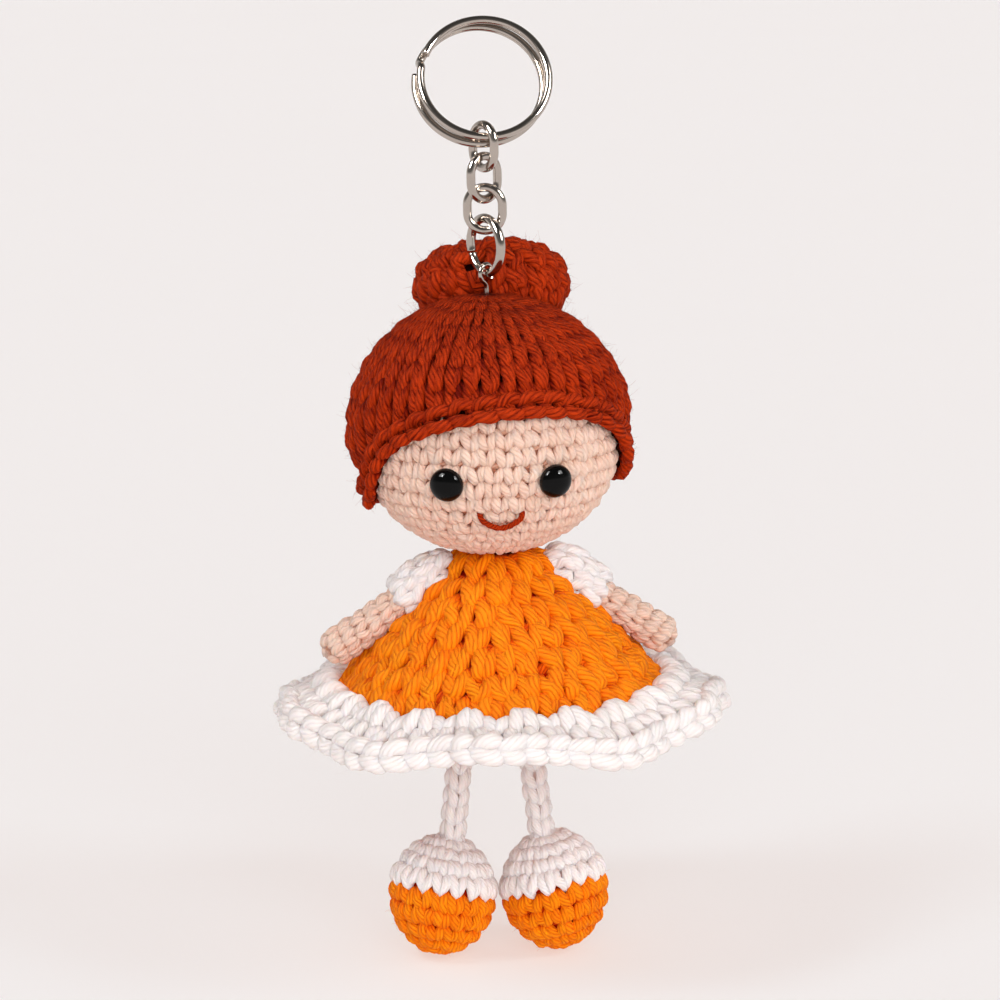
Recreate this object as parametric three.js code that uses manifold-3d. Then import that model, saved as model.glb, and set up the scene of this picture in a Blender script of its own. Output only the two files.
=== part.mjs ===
// An amigurumi doll keychain: a crocheted, stuffed doll that hangs on a short chain from a split ring.
// Millimetres, +Z up. The origin is the point inside the top of the split ring that a hook or key carries.
// The doll looks along -Y, so its own left hand is on the +X side.

import * as THREE from 'three';
import { mergeVertices } from 'three/addons/utils/BufferGeometryUtils.js';
import Module from 'manifold-3d';

const wasm = await Module();
wasm.setup();

const radians = THREE.MathUtils.degToRad;

// Clearance between pieces that touch on the real doll
const seatGap = 0.3;

// Split ring: two turns of round wire, leaning back, the front one slipped a little up and aside
const ringOuterDiameter = 24.4;
const ringWire = 1.5;
const ringTurnGap = 0.15;
const ringSlipAside = 0.9;
const ringSlipUp = 0.55;
const ringLean = 29;
const ringCutAngle = 155;
const ringJogAngle = 26;

// Chain links
const linkWire = 1.6;
const linkLength = 9.3;
const linkWidth = 7.9;
const linkYaws = [-58, 37, -13];
const slantedSeatEase = 0.25;

// Jump ring that carries the doll
const jumpWire = 1.7;
const jumpOuterDiameter = 11.5;
const jumpYaw = -62;
const jumpSlit = 0.35;
const jumpSlitAngle = 200;

// Eye pin in the crown
const pinWire = 0.8;
const pinHole = 2.5;
const pinYaw = 45;
const pinStemAboveHair = 1.5;
const pinDepth = 16;
const pinHookRadius = 2.6;

// Head ball, measured from its widest level
const headRadius = 23.2;
const headRise = 24.3;
const headDrop = 19.7;
const clothWall = 1.8;
const neckHoleRadius = 3.4;

// Wig cap: its own ellipsoid over the head, open under an arch over the face and dipping at the nape
const hairSideThickness = 2.7;
const hairCrownThickness = 3.15;
const hairCentre = 2.6;
const hairlinePeak = 9.8;
const hairlineFoot = -7.6;
const hairlineTurn = 5.7;
const hairlineHalfTurn = 75.8;
const hairlineFullness = 2.16;
const hairlineSkew = 0.75;
const napeDip = 5;

// Corded edge of the wig
const hairRimRise = 1.2;
const hairRimHalfWidth = 1.8;

// Bun behind the crown
const bunWidth = 28.6;
const bunDepth = 22.4;
const bunHeight = 16.8;
const bunShift = 1.9;
const bunBack = 12;
const bunRaise = 27.3;
const bunLean = 18;
const bunWall = 2.2;
const dollSwing = 15;

// Safety eyes
const eyeDiameter = 6;
const eyeRimHeight = 0.5;
const eyeDomeHeight = 2.1;
const eyeShankRadius = 1.1;
const eyeShankLength = 7;
const eyeShankRidges = 2;
const eyeTurn = 23.8;
const eyeLevel = -3;
const washerRadius = 3.6;
const washerThickness = 0.9;

// Embroidered mouth
const mouthHalfTurn = 10.85;
const mouthEndLevel = -8.9;
const mouthSag = 2.15;
const mouthYarn = 1.1;

// Torso under the dress
const bodyShift = 1;
const neckRadius = 4.9;
const hipRadius = 9.2;
const neckLevel = -21;
const hipLevel = -39;
const torsoBottom = -47;

// Dress: a bell from the neck to the hem
const neckTuck = 1.2;
const dressTopRadius = 6.4;
const dressHemRadius = 29.3;
const dressHemLevel = -44.1;
const dressWall = 3;
const dressBelly = 0.8;

// Ruffle under the hem
const ruffleInnerRadius = 26.4;
const ruffleOuterRadius = 40.6;
const ruffleDrop = 2.2;
const ruffleThickness = 2.9;
const ruffleScallops = 11;
const ruffleScallopDepth = 1.1;
const ruffleWaves = 5;
const ruffleWaveHeight = 1.6;
const ruffleTurn = -6.5;

// Arms and puffed sleeves
const shoulderOut = 11.2;
const shoulderLevel = -23.9;
const armDroop = 34;
const armReach = 21.6;
const armRootRadius = 2.6;
const handRadius = 3.5;
const sleeveRadius = 4.3;
const sleeveReach = 8;
const sleeveCuffRadius = 3.7;

// Legs
const legShift = -0.3;
const hipOut = 5.4;
const hipJointLevel = -47.2;
const legRadius = 2.15;
const hipBallRadius = 2.4;
const ankleOut = 8.3;
const ankleLevel = -73.6;

// Feet: a ball, white above and orange below
const footOut = 10.4;
const footLevel = -84.1;
const footRadius = 9.85;
const footHalfHeight = 11.15;
const shoeEdgeRaise = 0.3;
const shoeEdgeTilt = 12.5;
const shoeEdgePitch = 10;

// Facet counts
const wireSides = 8;
const fineSides = 6;
const headSides = 32;
const bellSides = 36;
const insideSides = 18;
const limbSides = 12;
const cutterSides = 12;

function yarn(color) {
  return new THREE.MeshStandardMaterial({ color, roughness: 0.9, metalness: 0 });
}

const materials = {
  nickel: new THREE.MeshStandardMaterial({ color: 0xc8c2bc, roughness: 0.18, metalness: 1 }),
  hair: yarn(0xa5361a),
  skin: yarn(0xeec3a4),
  orange: yarn(0xf88a1c),
  white: yarn(0xf5eeee),
  filling: yarn(0xf2f2f0),
  glossBlack: new THREE.MeshStandardMaterial({ color: 0x0b0b0c, roughness: 0.1, metalness: 0 }),
  nylon: new THREE.MeshStandardMaterial({ color: 0xe8e8e4, roughness: 0.5, metalness: 0 }),
};

// Solids and meshes

// Turns a closed geometry into a solid that can be joined and cut.
function solid(geometry) {
  const bare = geometry.clone();
  bare.deleteAttribute('normal');
  bare.deleteAttribute('uv');
  const welded = mergeVertices(bare, 1e-4);
  const corners = welded.index.array;
  const triangles = [];
  for (let i = 0; i < corners.length; i += 3) {
    const [a, b, c] = [corners[i], corners[i + 1], corners[i + 2]];
    if (a !== b && b !== c && c !== a) triangles.push(a, b, c);
  }
  return new wasm.Manifold(new wasm.Mesh({
    numProp: 3,
    vertProperties: new Float32Array(welded.attributes.position.array),
    triVerts: new Uint32Array(triangles),
  }));
}

function geometryOf(body) {
  const { vertProperties, triVerts } = body.getMesh();
  const geometry = new THREE.BufferGeometry();
  geometry.setAttribute('position', new THREE.BufferAttribute(vertProperties, 3));
  geometry.setIndex(new THREE.BufferAttribute(triVerts, 1));
  geometry.computeVertexNormals();
  return geometry;
}

// Adds one named piece to a group, from a geometry or a solid.
function piece(group, name, shape, material) {
  const geometry = shape.isBufferGeometry ? shape : geometryOf(shape);
  const mesh = new THREE.Mesh(geometry, material);
  mesh.name = name;
  group.add(mesh);
  return mesh;
}

function cutAll(body, tools) {
  return tools.reduce((left, tool) => left.subtract(tool), body);
}

// Skins a stack of closed rings of vertices; pointOf(i, j) gives vertex j of ring i.
// A looped skin joins its last ring to its first, and any other skin closes both ends on their centres.
function skin(rings, sides, pointOf, looped) {
  const positions = [];
  const triangles = [];
  for (let i = 0; i < rings; i += 1) {
    for (let j = 0; j < sides; j += 1) positions.push(...pointOf(i, j).toArray());
  }
  const vertex = (i, j) => (i % rings) * sides + (j % sides);
  for (let i = 0; i < (looped ? rings : rings - 1); i += 1) {
    for (let j = 0; j < sides; j += 1) {
      triangles.push(vertex(i, j), vertex(i, j + 1), vertex(i + 1, j));
      triangles.push(vertex(i, j + 1), vertex(i + 1, j + 1), vertex(i + 1, j));
    }
  }
  if (!looped) {
    for (const [i, outward] of [[0, false], [rings - 1, true]]) {
      const centre = new THREE.Vector3();
      for (let j = 0; j < sides; j += 1) centre.add(pointOf(i, j));
      const hub = positions.length / 3;
      positions.push(...centre.divideScalar(sides).toArray());
      for (let j = 0; j < sides; j += 1) {
        const edge = [vertex(i, j), vertex(i, j + 1)];
        triangles.push(hub, ...(outward ? edge : edge.reverse()));
      }
    }
  }
  const geometry = new THREE.BufferGeometry();
  geometry.setAttribute('position', new THREE.Float32BufferAttribute(positions, 3));
  geometry.setIndex(triangles);
  geometry.computeVertexNormals();
  return geometry;
}

// A turned form about the Z axis from [radius, level] pairs that run upwards.
function turned(profile, sides) {
  const points = profile.map(([radius, level]) => new THREE.Vector2(Math.max(radius, 0), level));
  return new THREE.LatheGeometry(points, sides).rotateX(Math.PI / 2);
}

// A round wire along an open curve.
function wire(curve, diameter, steps, sides) {
  const section = new THREE.Shape();
  for (let i = 0; i < sides; i += 1) {
    const angle = (i / sides) * 2 * Math.PI;
    const [x, y] = [Math.cos(angle) * diameter / 2, Math.sin(angle) * diameter / 2];
    if (i === 0) section.moveTo(x, y);
    else section.lineTo(x, y);
  }
  section.closePath();
  return new THREE.ExtrudeGeometry(section, { extrudePath: curve, steps, bevelEnabled: false });
}

// Half ellipses of one width that meet at level 0, taller above than below, from the bottom to the top.
function eggProfile(radius, rise, drop, rows) {
  const profile = [];
  for (let i = 0; i <= rows; i += 1) {
    const angle = Math.PI * (i / rows - 0.5);
    const across = i === 0 || i === rows ? 0 : Math.cos(angle) * radius;
    profile.push([across, Math.sin(angle) * (i < rows / 2 ? drop : rise)]);
  }
  return profile;
}

// Sets a form that is built along +Z so that its origin is at a place and its +Z runs along a direction.
function aimed(geometry, place, direction) {
  const turn = new THREE.Quaternion().setFromUnitVectors(new THREE.Vector3(0, 0, 1), direction);
  return geometry.clone().applyQuaternion(turn).translate(place.x, place.y, place.z);
}

// Split ring

class SplitRingCurve extends THREE.Curve {
  // Each turn lies flat, and the wire steps across from the rear turn to the front one between the cut ends.
  getPoint(t) {
    const jog = radians(ringJogAngle);
    const run = 4 * Math.PI - jog;
    const travelled = t * run;
    const forward = THREE.MathUtils.smoothstep(travelled, 2 * Math.PI - jog, 2 * Math.PI);
    const angle = radians(ringCutAngle) + jog + travelled;
    return new THREE.Vector3(
      Math.cos(angle) * ringMidRadius + forward * ringSlipAside,
      Math.sin(angle) * ringMidRadius + forward * ringSlipUp,
      (forward - 0.5) * ringPitch,
    );
  }
}

const ringMidRadius = (ringOuterDiameter - ringWire) / 2;
const ringHoleRadius = ringOuterDiameter / 2 - ringWire;
const ringPitch = ringWire + ringTurnGap;
const ringUp = new THREE.Vector3(0, Math.sin(radians(ringLean)), Math.cos(radians(ringLean)));
const ringFacing = new THREE.Vector3(0, -Math.cos(radians(ringLean)), Math.sin(radians(ringLean)));
const ringCentre = ringUp.clone().multiplyScalar(-ringHoleRadius);
const rearFoot = ringCentre.clone()
  .addScaledVector(ringUp, -ringMidRadius)
  .addScaledVector(ringFacing, -ringPitch / 2);
const frontFoot = rearFoot.clone()
  .addScaledVector(ringUp, ringSlipUp)
  .addScaledVector(ringFacing, ringPitch);
const ringFoot = rearFoot.clone().lerp(frontFoot, 0.5);

// Chain levels, from the ring's foot down to the eye pin
const chainY = ringFoot.y;
const linkStep = linkLength - linkWire;
// Each wire lies slanted across the next one's round end, which spreads the two a little.
const firstLinkTop = frontFoot.z + ringWire / 2 + seatGap + slantedSeatEase + linkWire / 2;
const linkSeat = linkWire + seatGap + slantedSeatEase;
const linkTops = linkYaws.map((yaw, i) => firstLinkTop - i * (linkStep - linkSeat));
const linkFoots = linkTops.map((top) => top - linkStep);
const jumpTop = linkFoots.at(-1) + linkWire / 2 + seatGap + slantedSeatEase + jumpWire / 2;
const jumpMidRadius = (jumpOuterDiameter - jumpWire) / 2;
const jumpCentre = jumpTop - jumpMidRadius;
const jumpFoot = jumpTop - 2 * jumpMidRadius;
const pinLoopCentre = jumpFoot + jumpWire / 2 + seatGap - pinHole / 2;
const pinLoopRadius = (pinHole + pinWire) / 2;

// Head level: the wig's crown lies one stem below the eye pin's loop
const hairTop = headRise + hairCrownThickness;
const hairHeight = hairTop - hairCentre;
const hairRadius = headRadius + hairSideThickness;
const headLevel = pinLoopCentre - pinLoopRadius - pinWire / 2 - pinStemAboveHair - hairTop;

function oneLink() {
  const rings = 22;
  const endRadius = (linkWidth - linkWire) / 2;
  const straight = linkLength - linkWidth;
  return skin(rings, wireSides, (i, j) => {
    const around = ((i + 0.5) / rings) * 2 * Math.PI;
    const about = (j / wireSides) * 2 * Math.PI;
    const out = endRadius + Math.cos(about) * linkWire / 2;
    return new THREE.Vector3(
      Math.cos(around) * out,
      Math.sin(about) * linkWire / 2,
      Math.sin(around) * out + Math.sign(Math.sin(around)) * straight / 2,
    );
  }, true);
}

class JumpRingCurve extends THREE.Curve {
  getPoint(t) {
    const slit = jumpSlit / jumpMidRadius;
    const angle = radians(jumpSlitAngle) + slit / 2 + t * (2 * Math.PI - slit);
    return new THREE.Vector3(Math.cos(angle) * jumpMidRadius, 0, Math.sin(angle) * jumpMidRadius);
  }
}

// The eye pin's wire, in the plane y = 0 about its loop's centre: round the loop, down the stem, into a hook.
function pinCurve(extraReach) {
  const hookSweep = 200 + THREE.MathUtils.radToDeg(extraReach / pinHookRadius);
  const points = [];
  const loopPoints = 14;
  for (let i = 0; i <= loopPoints; i += 1) {
    const angle = radians(THREE.MathUtils.lerp(-45, 248, i / loopPoints));
    points.push(new THREE.Vector3(Math.cos(angle) * pinLoopRadius, 0, Math.sin(angle) * pinLoopRadius));
  }
  const stemTop = -pinLoopRadius - pinWire;
  for (const share of [0, 0.25, 0.5, 0.75, 1]) {
    points.push(new THREE.Vector3(0, 0, THREE.MathUtils.lerp(stemTop, -pinDepth, share)));
  }
  const hookPoints = 5;
  for (let i = 1; i <= hookPoints; i += 1) {
    const angle = radians(180 + (i / hookPoints) * hookSweep);
    points.push(new THREE.Vector3(
      pinHookRadius * (1 + Math.cos(angle)),
      0,
      -pinDepth + pinHookRadius * Math.sin(angle),
    ));
  }
  return new THREE.CatmullRomCurve3(points);
}

// The pin in the head's frame, thickened by a clearance where it is used as a cutter.
function pinGeometry(grow) {
  return wire(pinCurve(grow), pinWire + 2 * grow, 38, fineSides)
    .rotateZ(radians(pinYaw))
    .translate(0, 0, pinLoopCentre - headLevel);
}

// Head

function headGeometry(grow, sides, rows) {
  return turned(eggProfile(headRadius + grow, headRise + grow, headDrop + grow, rows), sides);
}

// A place on the head at a turn from the face's middle and a level, moved out along the surface normal.
function headSpot(turn, level, out) {
  const height = level > 0 ? headRise : headDrop;
  const radius = headRadius * Math.sqrt(1 - (level / height) ** 2);
  const point = new THREE.Vector3(Math.sin(turn) * radius, -Math.cos(turn) * radius, level);
  const normal = new THREE.Vector3(
    point.x / headRadius ** 2,
    point.y / headRadius ** 2,
    point.z / height ** 2,
  ).normalize();
  return { point: point.addScaledVector(normal, out), normal };
}

// Wig

// Level of the hairline at a turn about the head.
function hairlineLevel(turn) {
  const fromMiddle = Math.abs(turn - radians(hairlineTurn)) / radians(hairlineHalfTurn);
  const arch = (1 - Math.min(fromMiddle, 1) ** hairlineFullness) ** (1 / hairlineFullness);
  const behind = Math.max(-Math.cos(turn), 0);
  return THREE.MathUtils.lerp(hairlineFoot, hairlinePeak, arch)
    + hairlineSkew * Math.sin(turn) - napeDip * behind ** 2;
}

// Places spread evenly along a closed line of [turn, level] places about the head.
function evenly(places, count) {
  const [firstTurn, firstLevel] = places[0];
  const closed = [...places, [firstTurn + 2 * Math.PI, firstLevel]];
  const travelled = [0];
  for (let i = 1; i < closed.length; i += 1) {
    const turned = (closed[i][0] - closed[i - 1][0]) * headRadius;
    travelled.push(travelled[i - 1] + Math.hypot(turned, closed[i][1] - closed[i - 1][1]));
  }
  let at = 0;
  return Array.from({ length: count }, (_, i) => {
    const wanted = travelled.at(-1) * i / count;
    while (travelled[at + 1] < wanted) at += 1;
    const share = (wanted - travelled[at]) / (travelled[at + 1] - travelled[at]);
    return [0, 1].map((k) => THREE.MathUtils.lerp(closed[at][k], closed[at + 1][k], share));
  });
}

// The hairline with its corners rounded, as evenly spaced [turn, level] places from the back of the head.
function hairlinePlaces(count) {
  const steps = 180;
  const reach = 4;
  const sharp = evenly(Array.from({ length: 2 * steps }, (_, i) => {
    const turn = -Math.PI + (i / steps) * Math.PI;
    return [turn, hairlineLevel(turn)];
  }), steps);
  const rounded = sharp.map((_, i) => {
    let [turn, level] = [0, 0];
    for (let k = i - reach; k <= i + reach; k += 1) {
      turn += sharp[(k + steps) % steps][0] + Math.floor(k / steps) * 2 * Math.PI;
      level += sharp[(k + steps) % steps][1];
    }
    return [turn / (2 * reach + 1), level / (2 * reach + 1)];
  });
  return evenly(rounded, count);
}

function hairCapGeometry() {
  const rows = 9;
  const edge = hairlinePlaces(34).reverse();
  const facetSag = headRadius * (1 - Math.cos(Math.PI / (2 * rows)));
  const inside = seatGap + facetSag;
  const shells = [
    { radius: hairRadius, rise: hairHeight, drop: hairHeight, centre: hairCentre },
    { radius: headRadius + inside, rise: headRise + inside, drop: headDrop + inside, centre: 0 },
  ];
  return skin(2 * rows, edge.length, (i, j) => {
    const [turn, level] = edge[j];
    const outside = i < rows;
    const shell = shells[outside ? 0 : 1];
    const share = (outside ? i + 0.5 : 2 * rows - i - 0.5) / (rows - 0.5);
    const edgeHeight = level - shell.centre;
    const lowest = Math.acos(edgeHeight / (edgeHeight > 0 ? shell.rise : shell.drop));
    const polar = (lowest - hairRimHalfWidth / headRadius) * share;
    const height = polar < Math.PI / 2 ? shell.rise : shell.drop;
    const point = new THREE.Vector3(
      Math.sin(turn) * Math.sin(polar) * shell.radius,
      -Math.cos(turn) * Math.sin(polar) * shell.radius,
      shell.centre + Math.cos(polar) * height,
    );
    // The outside thins towards the corded edge
    const rim = headSpot(turn, level + hairRimHalfWidth, 2 * hairRimRise).point;
    return point.lerp(rim, outside ? THREE.MathUtils.smoothstep(share, 0.7, 1) : 0);
  }, false);
}

// The corded edge along the hairline, thickened by a clearance where it is used as a cutter.
function hairRimGeometry(grow) {
  const places = hairlinePlaces(48).reverse();
  const centreLine = (i) => {
    const [turn, level] = places[(i + places.length) % places.length];
    return headSpot(turn, level, seatGap + hairRimRise);
  };
  return skin(places.length, fineSides, (i, j) => {
    const { point, normal } = centreLine(i);
    const ahead = centreLine(i + 1).point.sub(centreLine(i - 1).point);
    const along = ahead.addScaledVector(normal, -ahead.dot(normal)).normalize();
    const side = new THREE.Vector3().crossVectors(along, normal);
    const about = (j / fineSides) * 2 * Math.PI;
    return point
      .addScaledVector(normal, Math.cos(about) * (hairRimRise + grow))
      .addScaledVector(side, Math.sin(about) * (hairRimHalfWidth + grow));
  }, true);
}

// The bun, or with a shrink its hollow: a fat cushion of revolution, leaning back behind the crown.
function bunGeometry(shrink, sides) {
  const rows = 10;
  const profile = [];
  for (let i = 0; i <= rows; i += 1) {
    const angle = Math.PI * (i / rows - 0.5);
    const fullness = 0.85;
    const across = i === 0 || i === rows ? 0 : Math.cos(angle) ** fullness;
    const up = Math.sign(Math.sin(angle)) * Math.abs(Math.sin(angle)) ** fullness;
    profile.push([across * (bunWidth / 2 - shrink), up * (bunHeight / 2 - shrink)]);
  }
  return turned(profile, sides)
    .scale(1, (bunDepth / 2 - shrink) / (bunWidth / 2 - shrink), 1)
    .rotateX(-radians(bunLean))
    .translate(bunShift, bunBack, bunRaise);
}

// The dimple in the bun that leaves room for the jump ring at both ends of the doll's swing.
function dimpleGeometry(grow) {
  const radius = jumpOuterDiameter / 2 + seatGap + grow;
  const base = jumpWire / 2 + seatGap + grow;
  const geometry = new THREE.CylinderGeometry(radius, radius, 2, 28);
  const centreAboveFoot = jumpCentre - jumpFoot;
  const position = geometry.attributes.position;
  for (let i = 0; i < position.count; i += 1) {
    const above = Math.max(position.getZ(i) + centreAboveFoot + radius, 0);
    position.setY(i, position.getY(i) * (base + Math.tan(radians(dollSwing)) * above));
  }
  return geometry.rotateZ(radians(jumpYaw)).translate(0, 0, jumpCentre - headLevel);
}

// Face

function eyeGeometry() {
  const radius = eyeDiameter / 2;
  const profile = [[0, -eyeShankLength], [eyeShankRadius * 0.7, -eyeShankLength]];
  const ridgePitch = 1;
  for (let i = 0; i < eyeShankRidges; i += 1) {
    const level = -eyeShankLength + 0.5 + i * ridgePitch;
    profile.push([eyeShankRadius, level], [eyeShankRadius * 0.8, level + ridgePitch * 0.6]);
  }
  profile.push([eyeShankRadius * 0.8, 0], [radius - 0.2, 0], [radius, 0.2], [radius, eyeRimHeight]);
  const domeRows = 4;
  for (let i = 1; i <= domeRows; i += 1) {
    const angle = (i / domeRows) * Math.PI / 2;
    const across = i === domeRows ? 0 : Math.cos(angle) * radius;
    profile.push([across, eyeRimHeight + Math.sin(angle) * eyeDomeHeight]);
  }
  return turned(profile, limbSides);
}

function ringPlate(innerRadius, outerRadius, thickness, sides) {
  return turned([
    [innerRadius, thickness], [innerRadius, 0], [outerRadius, 0], [outerRadius, thickness],
    [innerRadius, thickness],
  ], sides);
}

class MouthCurve extends THREE.Curve {
  getPoint(t) {
    const share = 2 * t - 1;
    const level = mouthEndLevel - mouthSag * (1 - share ** 2);
    return headSpot(radians(mouthHalfTurn) * share, level, seatGap + mouthYarn / 2).point;
  }
}

// Torso and dress

const dressTopLevel = neckTuck - headDrop;

function torsoProfile(shrink, topLevel) {
  const profile = [];
  const bottomRows = 4;
  for (let i = 0; i < bottomRows; i += 1) {
    const angle = (i / bottomRows) * Math.PI / 2;
    profile.push([
      Math.sin(angle) * (hipRadius - shrink),
      hipLevel - Math.cos(angle) * (hipLevel - torsoBottom - shrink),
    ]);
  }
  const sideRows = 4;
  for (let i = 0; i <= sideRows; i += 1) {
    const share = i / sideRows;
    const taper = (1 + Math.cos(Math.PI * share)) / 2;
    profile.push([
      THREE.MathUtils.lerp(neckRadius, hipRadius, taper) - shrink,
      THREE.MathUtils.lerp(hipLevel, neckLevel, share),
    ]);
  }
  profile.push([neckRadius - shrink, topLevel], [0, topLevel]);
  return profile;
}

function torsoGeometry(shrink, topLevel) {
  return turned(torsoProfile(shrink, topLevel), insideSides).translate(bodyShift, 0, 0);
}

// Radius of the bell at a share of the way from the neck to the hem, with a slight outward belly.
function dressRadius(share, inset) {
  const swell = dressBelly * Math.sin(Math.PI * share);
  return THREE.MathUtils.lerp(dressTopRadius, dressHemRadius, share) + swell - inset;
}

// The bell, grown outwards by a clearance where it is used as a cutter, closed flat at both ends.
function bellGeometry(inset, low) {
  const rows = 5;
  const profile = [[0, low]];
  for (let i = 0; i <= rows; i += 1) {
    const share = 1 - i / rows;
    const level = THREE.MathUtils.lerp(dressTopLevel, dressHemLevel, share);
    profile.push([dressRadius(share, inset), i === 0 ? low : level]);
  }
  profile.push([0, dressTopLevel]);
  return turned(profile, bellSides).translate(bodyShift, 0, 0);
}

function ruffleGeometry() {
  const columns = ruffleScallops * 6;
  const around = 8;
  return skin(columns, around, (i, j) => {
    const turn = -(i / columns) * 2 * Math.PI;
    const phase = turn - radians(ruffleTurn);
    const about = (j / around) * 2 * Math.PI;
    const full = (value) => Math.sign(value) * Math.abs(value) ** 0.6;
    const across = (1 + full(Math.cos(about))) / 2;
    const reach = ruffleOuterRadius + ruffleScallopDepth * Math.cos(ruffleScallops * phase);
    const radius = THREE.MathUtils.lerp(ruffleInnerRadius, reach, across);
    const wave = ruffleWaveHeight * Math.cos(ruffleWaves * phase) * across ** 1.5;
    const lift = full(Math.sin(about)) * ruffleThickness / 2;
    const middle = dressHemLevel - seatGap - ruffleThickness / 2 - ruffleDrop * across ** 2;
    return new THREE.Vector3(
      Math.sin(turn) * radius + bodyShift,
      -Math.cos(turn) * radius,
      middle + wave + lift,
    );
  }, true);
}

// Arms

// Arm and sleeve outlines along the arm from the shoulder joint, at 0, to the finger end.
function armProfile(grow) {
  const profile = [[0, -grow], [armRootRadius + grow, -grow]];
  const rows = 3;
  for (let i = 1; i <= rows; i += 1) {
    const share = i / (rows + 1);
    const radius = THREE.MathUtils.lerp(armRootRadius, handRadius, share ** 0.8);
    profile.push([radius + grow, share * armReach]);
  }
  const endRows = 5;
  for (let i = 0; i <= endRows; i += 1) {
    const angle = (i / endRows) * Math.PI / 2;
    const across = i === endRows ? 0 : Math.cos(angle) * (handRadius + grow);
    profile.push([across, armReach + Math.sin(angle) * (handRadius + grow)]);
  }
  return profile;
}

function sleeveProfile() {
  const profile = [];
  const rootRows = 5;
  for (let i = 0; i <= rootRows; i += 1) {
    const angle = (i / rootRows - 1) * Math.PI / 2;
    profile.push([i === 0 ? 0 : Math.cos(angle) * sleeveRadius, Math.sin(angle) * sleeveRadius]);
  }
  profile.push([sleeveRadius * 1.03, sleeveReach * 0.3], [sleeveRadius, sleeveReach * 0.65]);
  profile.push([sleeveCuffRadius + 0.2, sleeveReach * 0.92], [sleeveCuffRadius - 0.3, sleeveReach]);
  profile.push([0, sleeveReach]);
  return profile;
}

function shoulderPoint(side) {
  return new THREE.Vector3(bodyShift + side * shoulderOut, 0, shoulderLevel);
}

function armDirection(side) {
  return new THREE.Vector3(side * Math.cos(radians(armDroop)), 0, -Math.sin(radians(armDroop)));
}

function ball(radius, centre) {
  return new THREE.SphereGeometry(radius, cutterSides, cutterSides / 2).translate(...centre.toArray());
}

// A socket for a ball, with the clearance left in the middle of its facets too.
function socket(radius, centre) {
  const facetStretch = Math.cos(Math.PI / cutterSides) ** 2;
  return ball((radius + seatGap) / facetStretch, centre);
}

// Legs and feet

function hipPoint(side) {
  return new THREE.Vector3(legShift + side * hipOut, 0, hipJointLevel);
}

function anklePoint(side) {
  return new THREE.Vector3(legShift + side * ankleOut, 0, ankleLevel);
}

// A crocheted cord that swells into a ball at the hip and at the ankle.
function legProfile(length) {
  const profile = [];
  const endRows = 4;
  for (let i = 0; i <= endRows; i += 1) {
    const angle = (i / endRows - 1) * Math.PI / 2;
    profile.push([i === 0 ? 0 : Math.cos(angle) * legRadius, Math.sin(angle) * legRadius]);
  }
  for (const share of [0.25, 0.5, 0.75]) profile.push([legRadius * 0.97, share * length]);
  for (let i = 0; i <= endRows; i += 1) {
    const angle = (i / endRows) * Math.PI / 2;
    const across = i === endRows ? 0 : Math.cos(angle) * hipBallRadius;
    profile.push([across, length + Math.sin(angle) * hipBallRadius]);
  }
  return profile;
}

function footGeometry(shrink, side, sides) {
  const profile = eggProfile(footRadius - shrink, footHalfHeight - shrink, footHalfHeight - shrink, 10);
  return turned(profile, sides).translate(side * footOut, 0, footLevel);
}

// A block that fills all space on one side of the line where the shoe meets the sock.
function footSplitter(side, above) {
  const size = 4 * footRadius;
  const lift = (above ? 1 : -1) * (size / 2 + seatGap / 2);
  return new THREE.BoxGeometry(size, size, size)
    .translate(0, 0, lift)
    .rotateX(-radians(shoeEdgePitch))
    .rotateY(-side * radians(shoeEdgeTilt))
    .translate(side * footOut, 0, footLevel + shoeEdgeRaise);
}

// Assembly

const keychain = new THREE.Group();

const ringGroup = new THREE.Group();
ringGroup.position.copy(ringCentre);
ringGroup.rotation.x = radians(90 - ringLean);
keychain.add(ringGroup);
piece(ringGroup, 'split_ring', wire(new SplitRingCurve(), ringWire, 64, wireSides), materials.nickel);

linkYaws.forEach((yaw, i) => {
  const link = piece(keychain, `chain_link_${i + 1}`, oneLink(), materials.nickel);
  link.position.set(0, chainY, (linkTops[i] + linkFoots[i]) / 2);
  link.rotation.z = radians(yaw);
});

const jumpRing = piece(
  keychain, 'jump_ring', wire(new JumpRingCurve(), jumpWire, 26, wireSides), materials.nickel,
);
jumpRing.position.set(0, chainY, jumpCentre);
jumpRing.rotation.z = radians(jumpYaw);

const doll = new THREE.Group();
doll.position.set(0, chainY, headLevel);
keychain.add(doll);

piece(doll, 'eye_pin', pinGeometry(0), materials.nickel);
const pinCutter = solid(pinGeometry(seatGap));

// Eyes, and the pockets that their shanks and washers need.
// A flat washer bears on the inside of the curved cover with its edge, so it sits a little deeper.
const cavityFacetSag = 2 * headRadius * (1 - Math.cos(Math.PI / insideSides));
const washerDish = washerRadius ** 2 / (2 * (headRadius - clothWall));
const washerSink = clothWall + 2 * seatGap + washerDish + cavityFacetSag;
const eyes = [1, -1].map((side) => {
  const { point, normal } = headSpot(side * radians(eyeTurn), eyeLevel, seatGap);
  const washerSeat = point.clone().addScaledVector(normal, -washerSink - washerThickness);
  return { side, point, normal, washerSeat };
});
const shankCutters = eyes.map(({ point, normal }) => solid(aimed(
  turned([
    [0, -eyeShankLength - seatGap], [eyeShankRadius + seatGap, -eyeShankLength - seatGap],
    [eyeShankRadius + seatGap, seatGap], [0, seatGap],
  ], cutterSides), point, normal,
)));
const washerCutters = eyes.map(({ point, normal }) => solid(aimed(
  turned([
    [0, -eyeShankLength - seatGap], [washerRadius + seatGap, -eyeShankLength - seatGap],
    [washerRadius + seatGap, 0], [0, 0],
  ], cutterSides), point, normal,
)));
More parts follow.
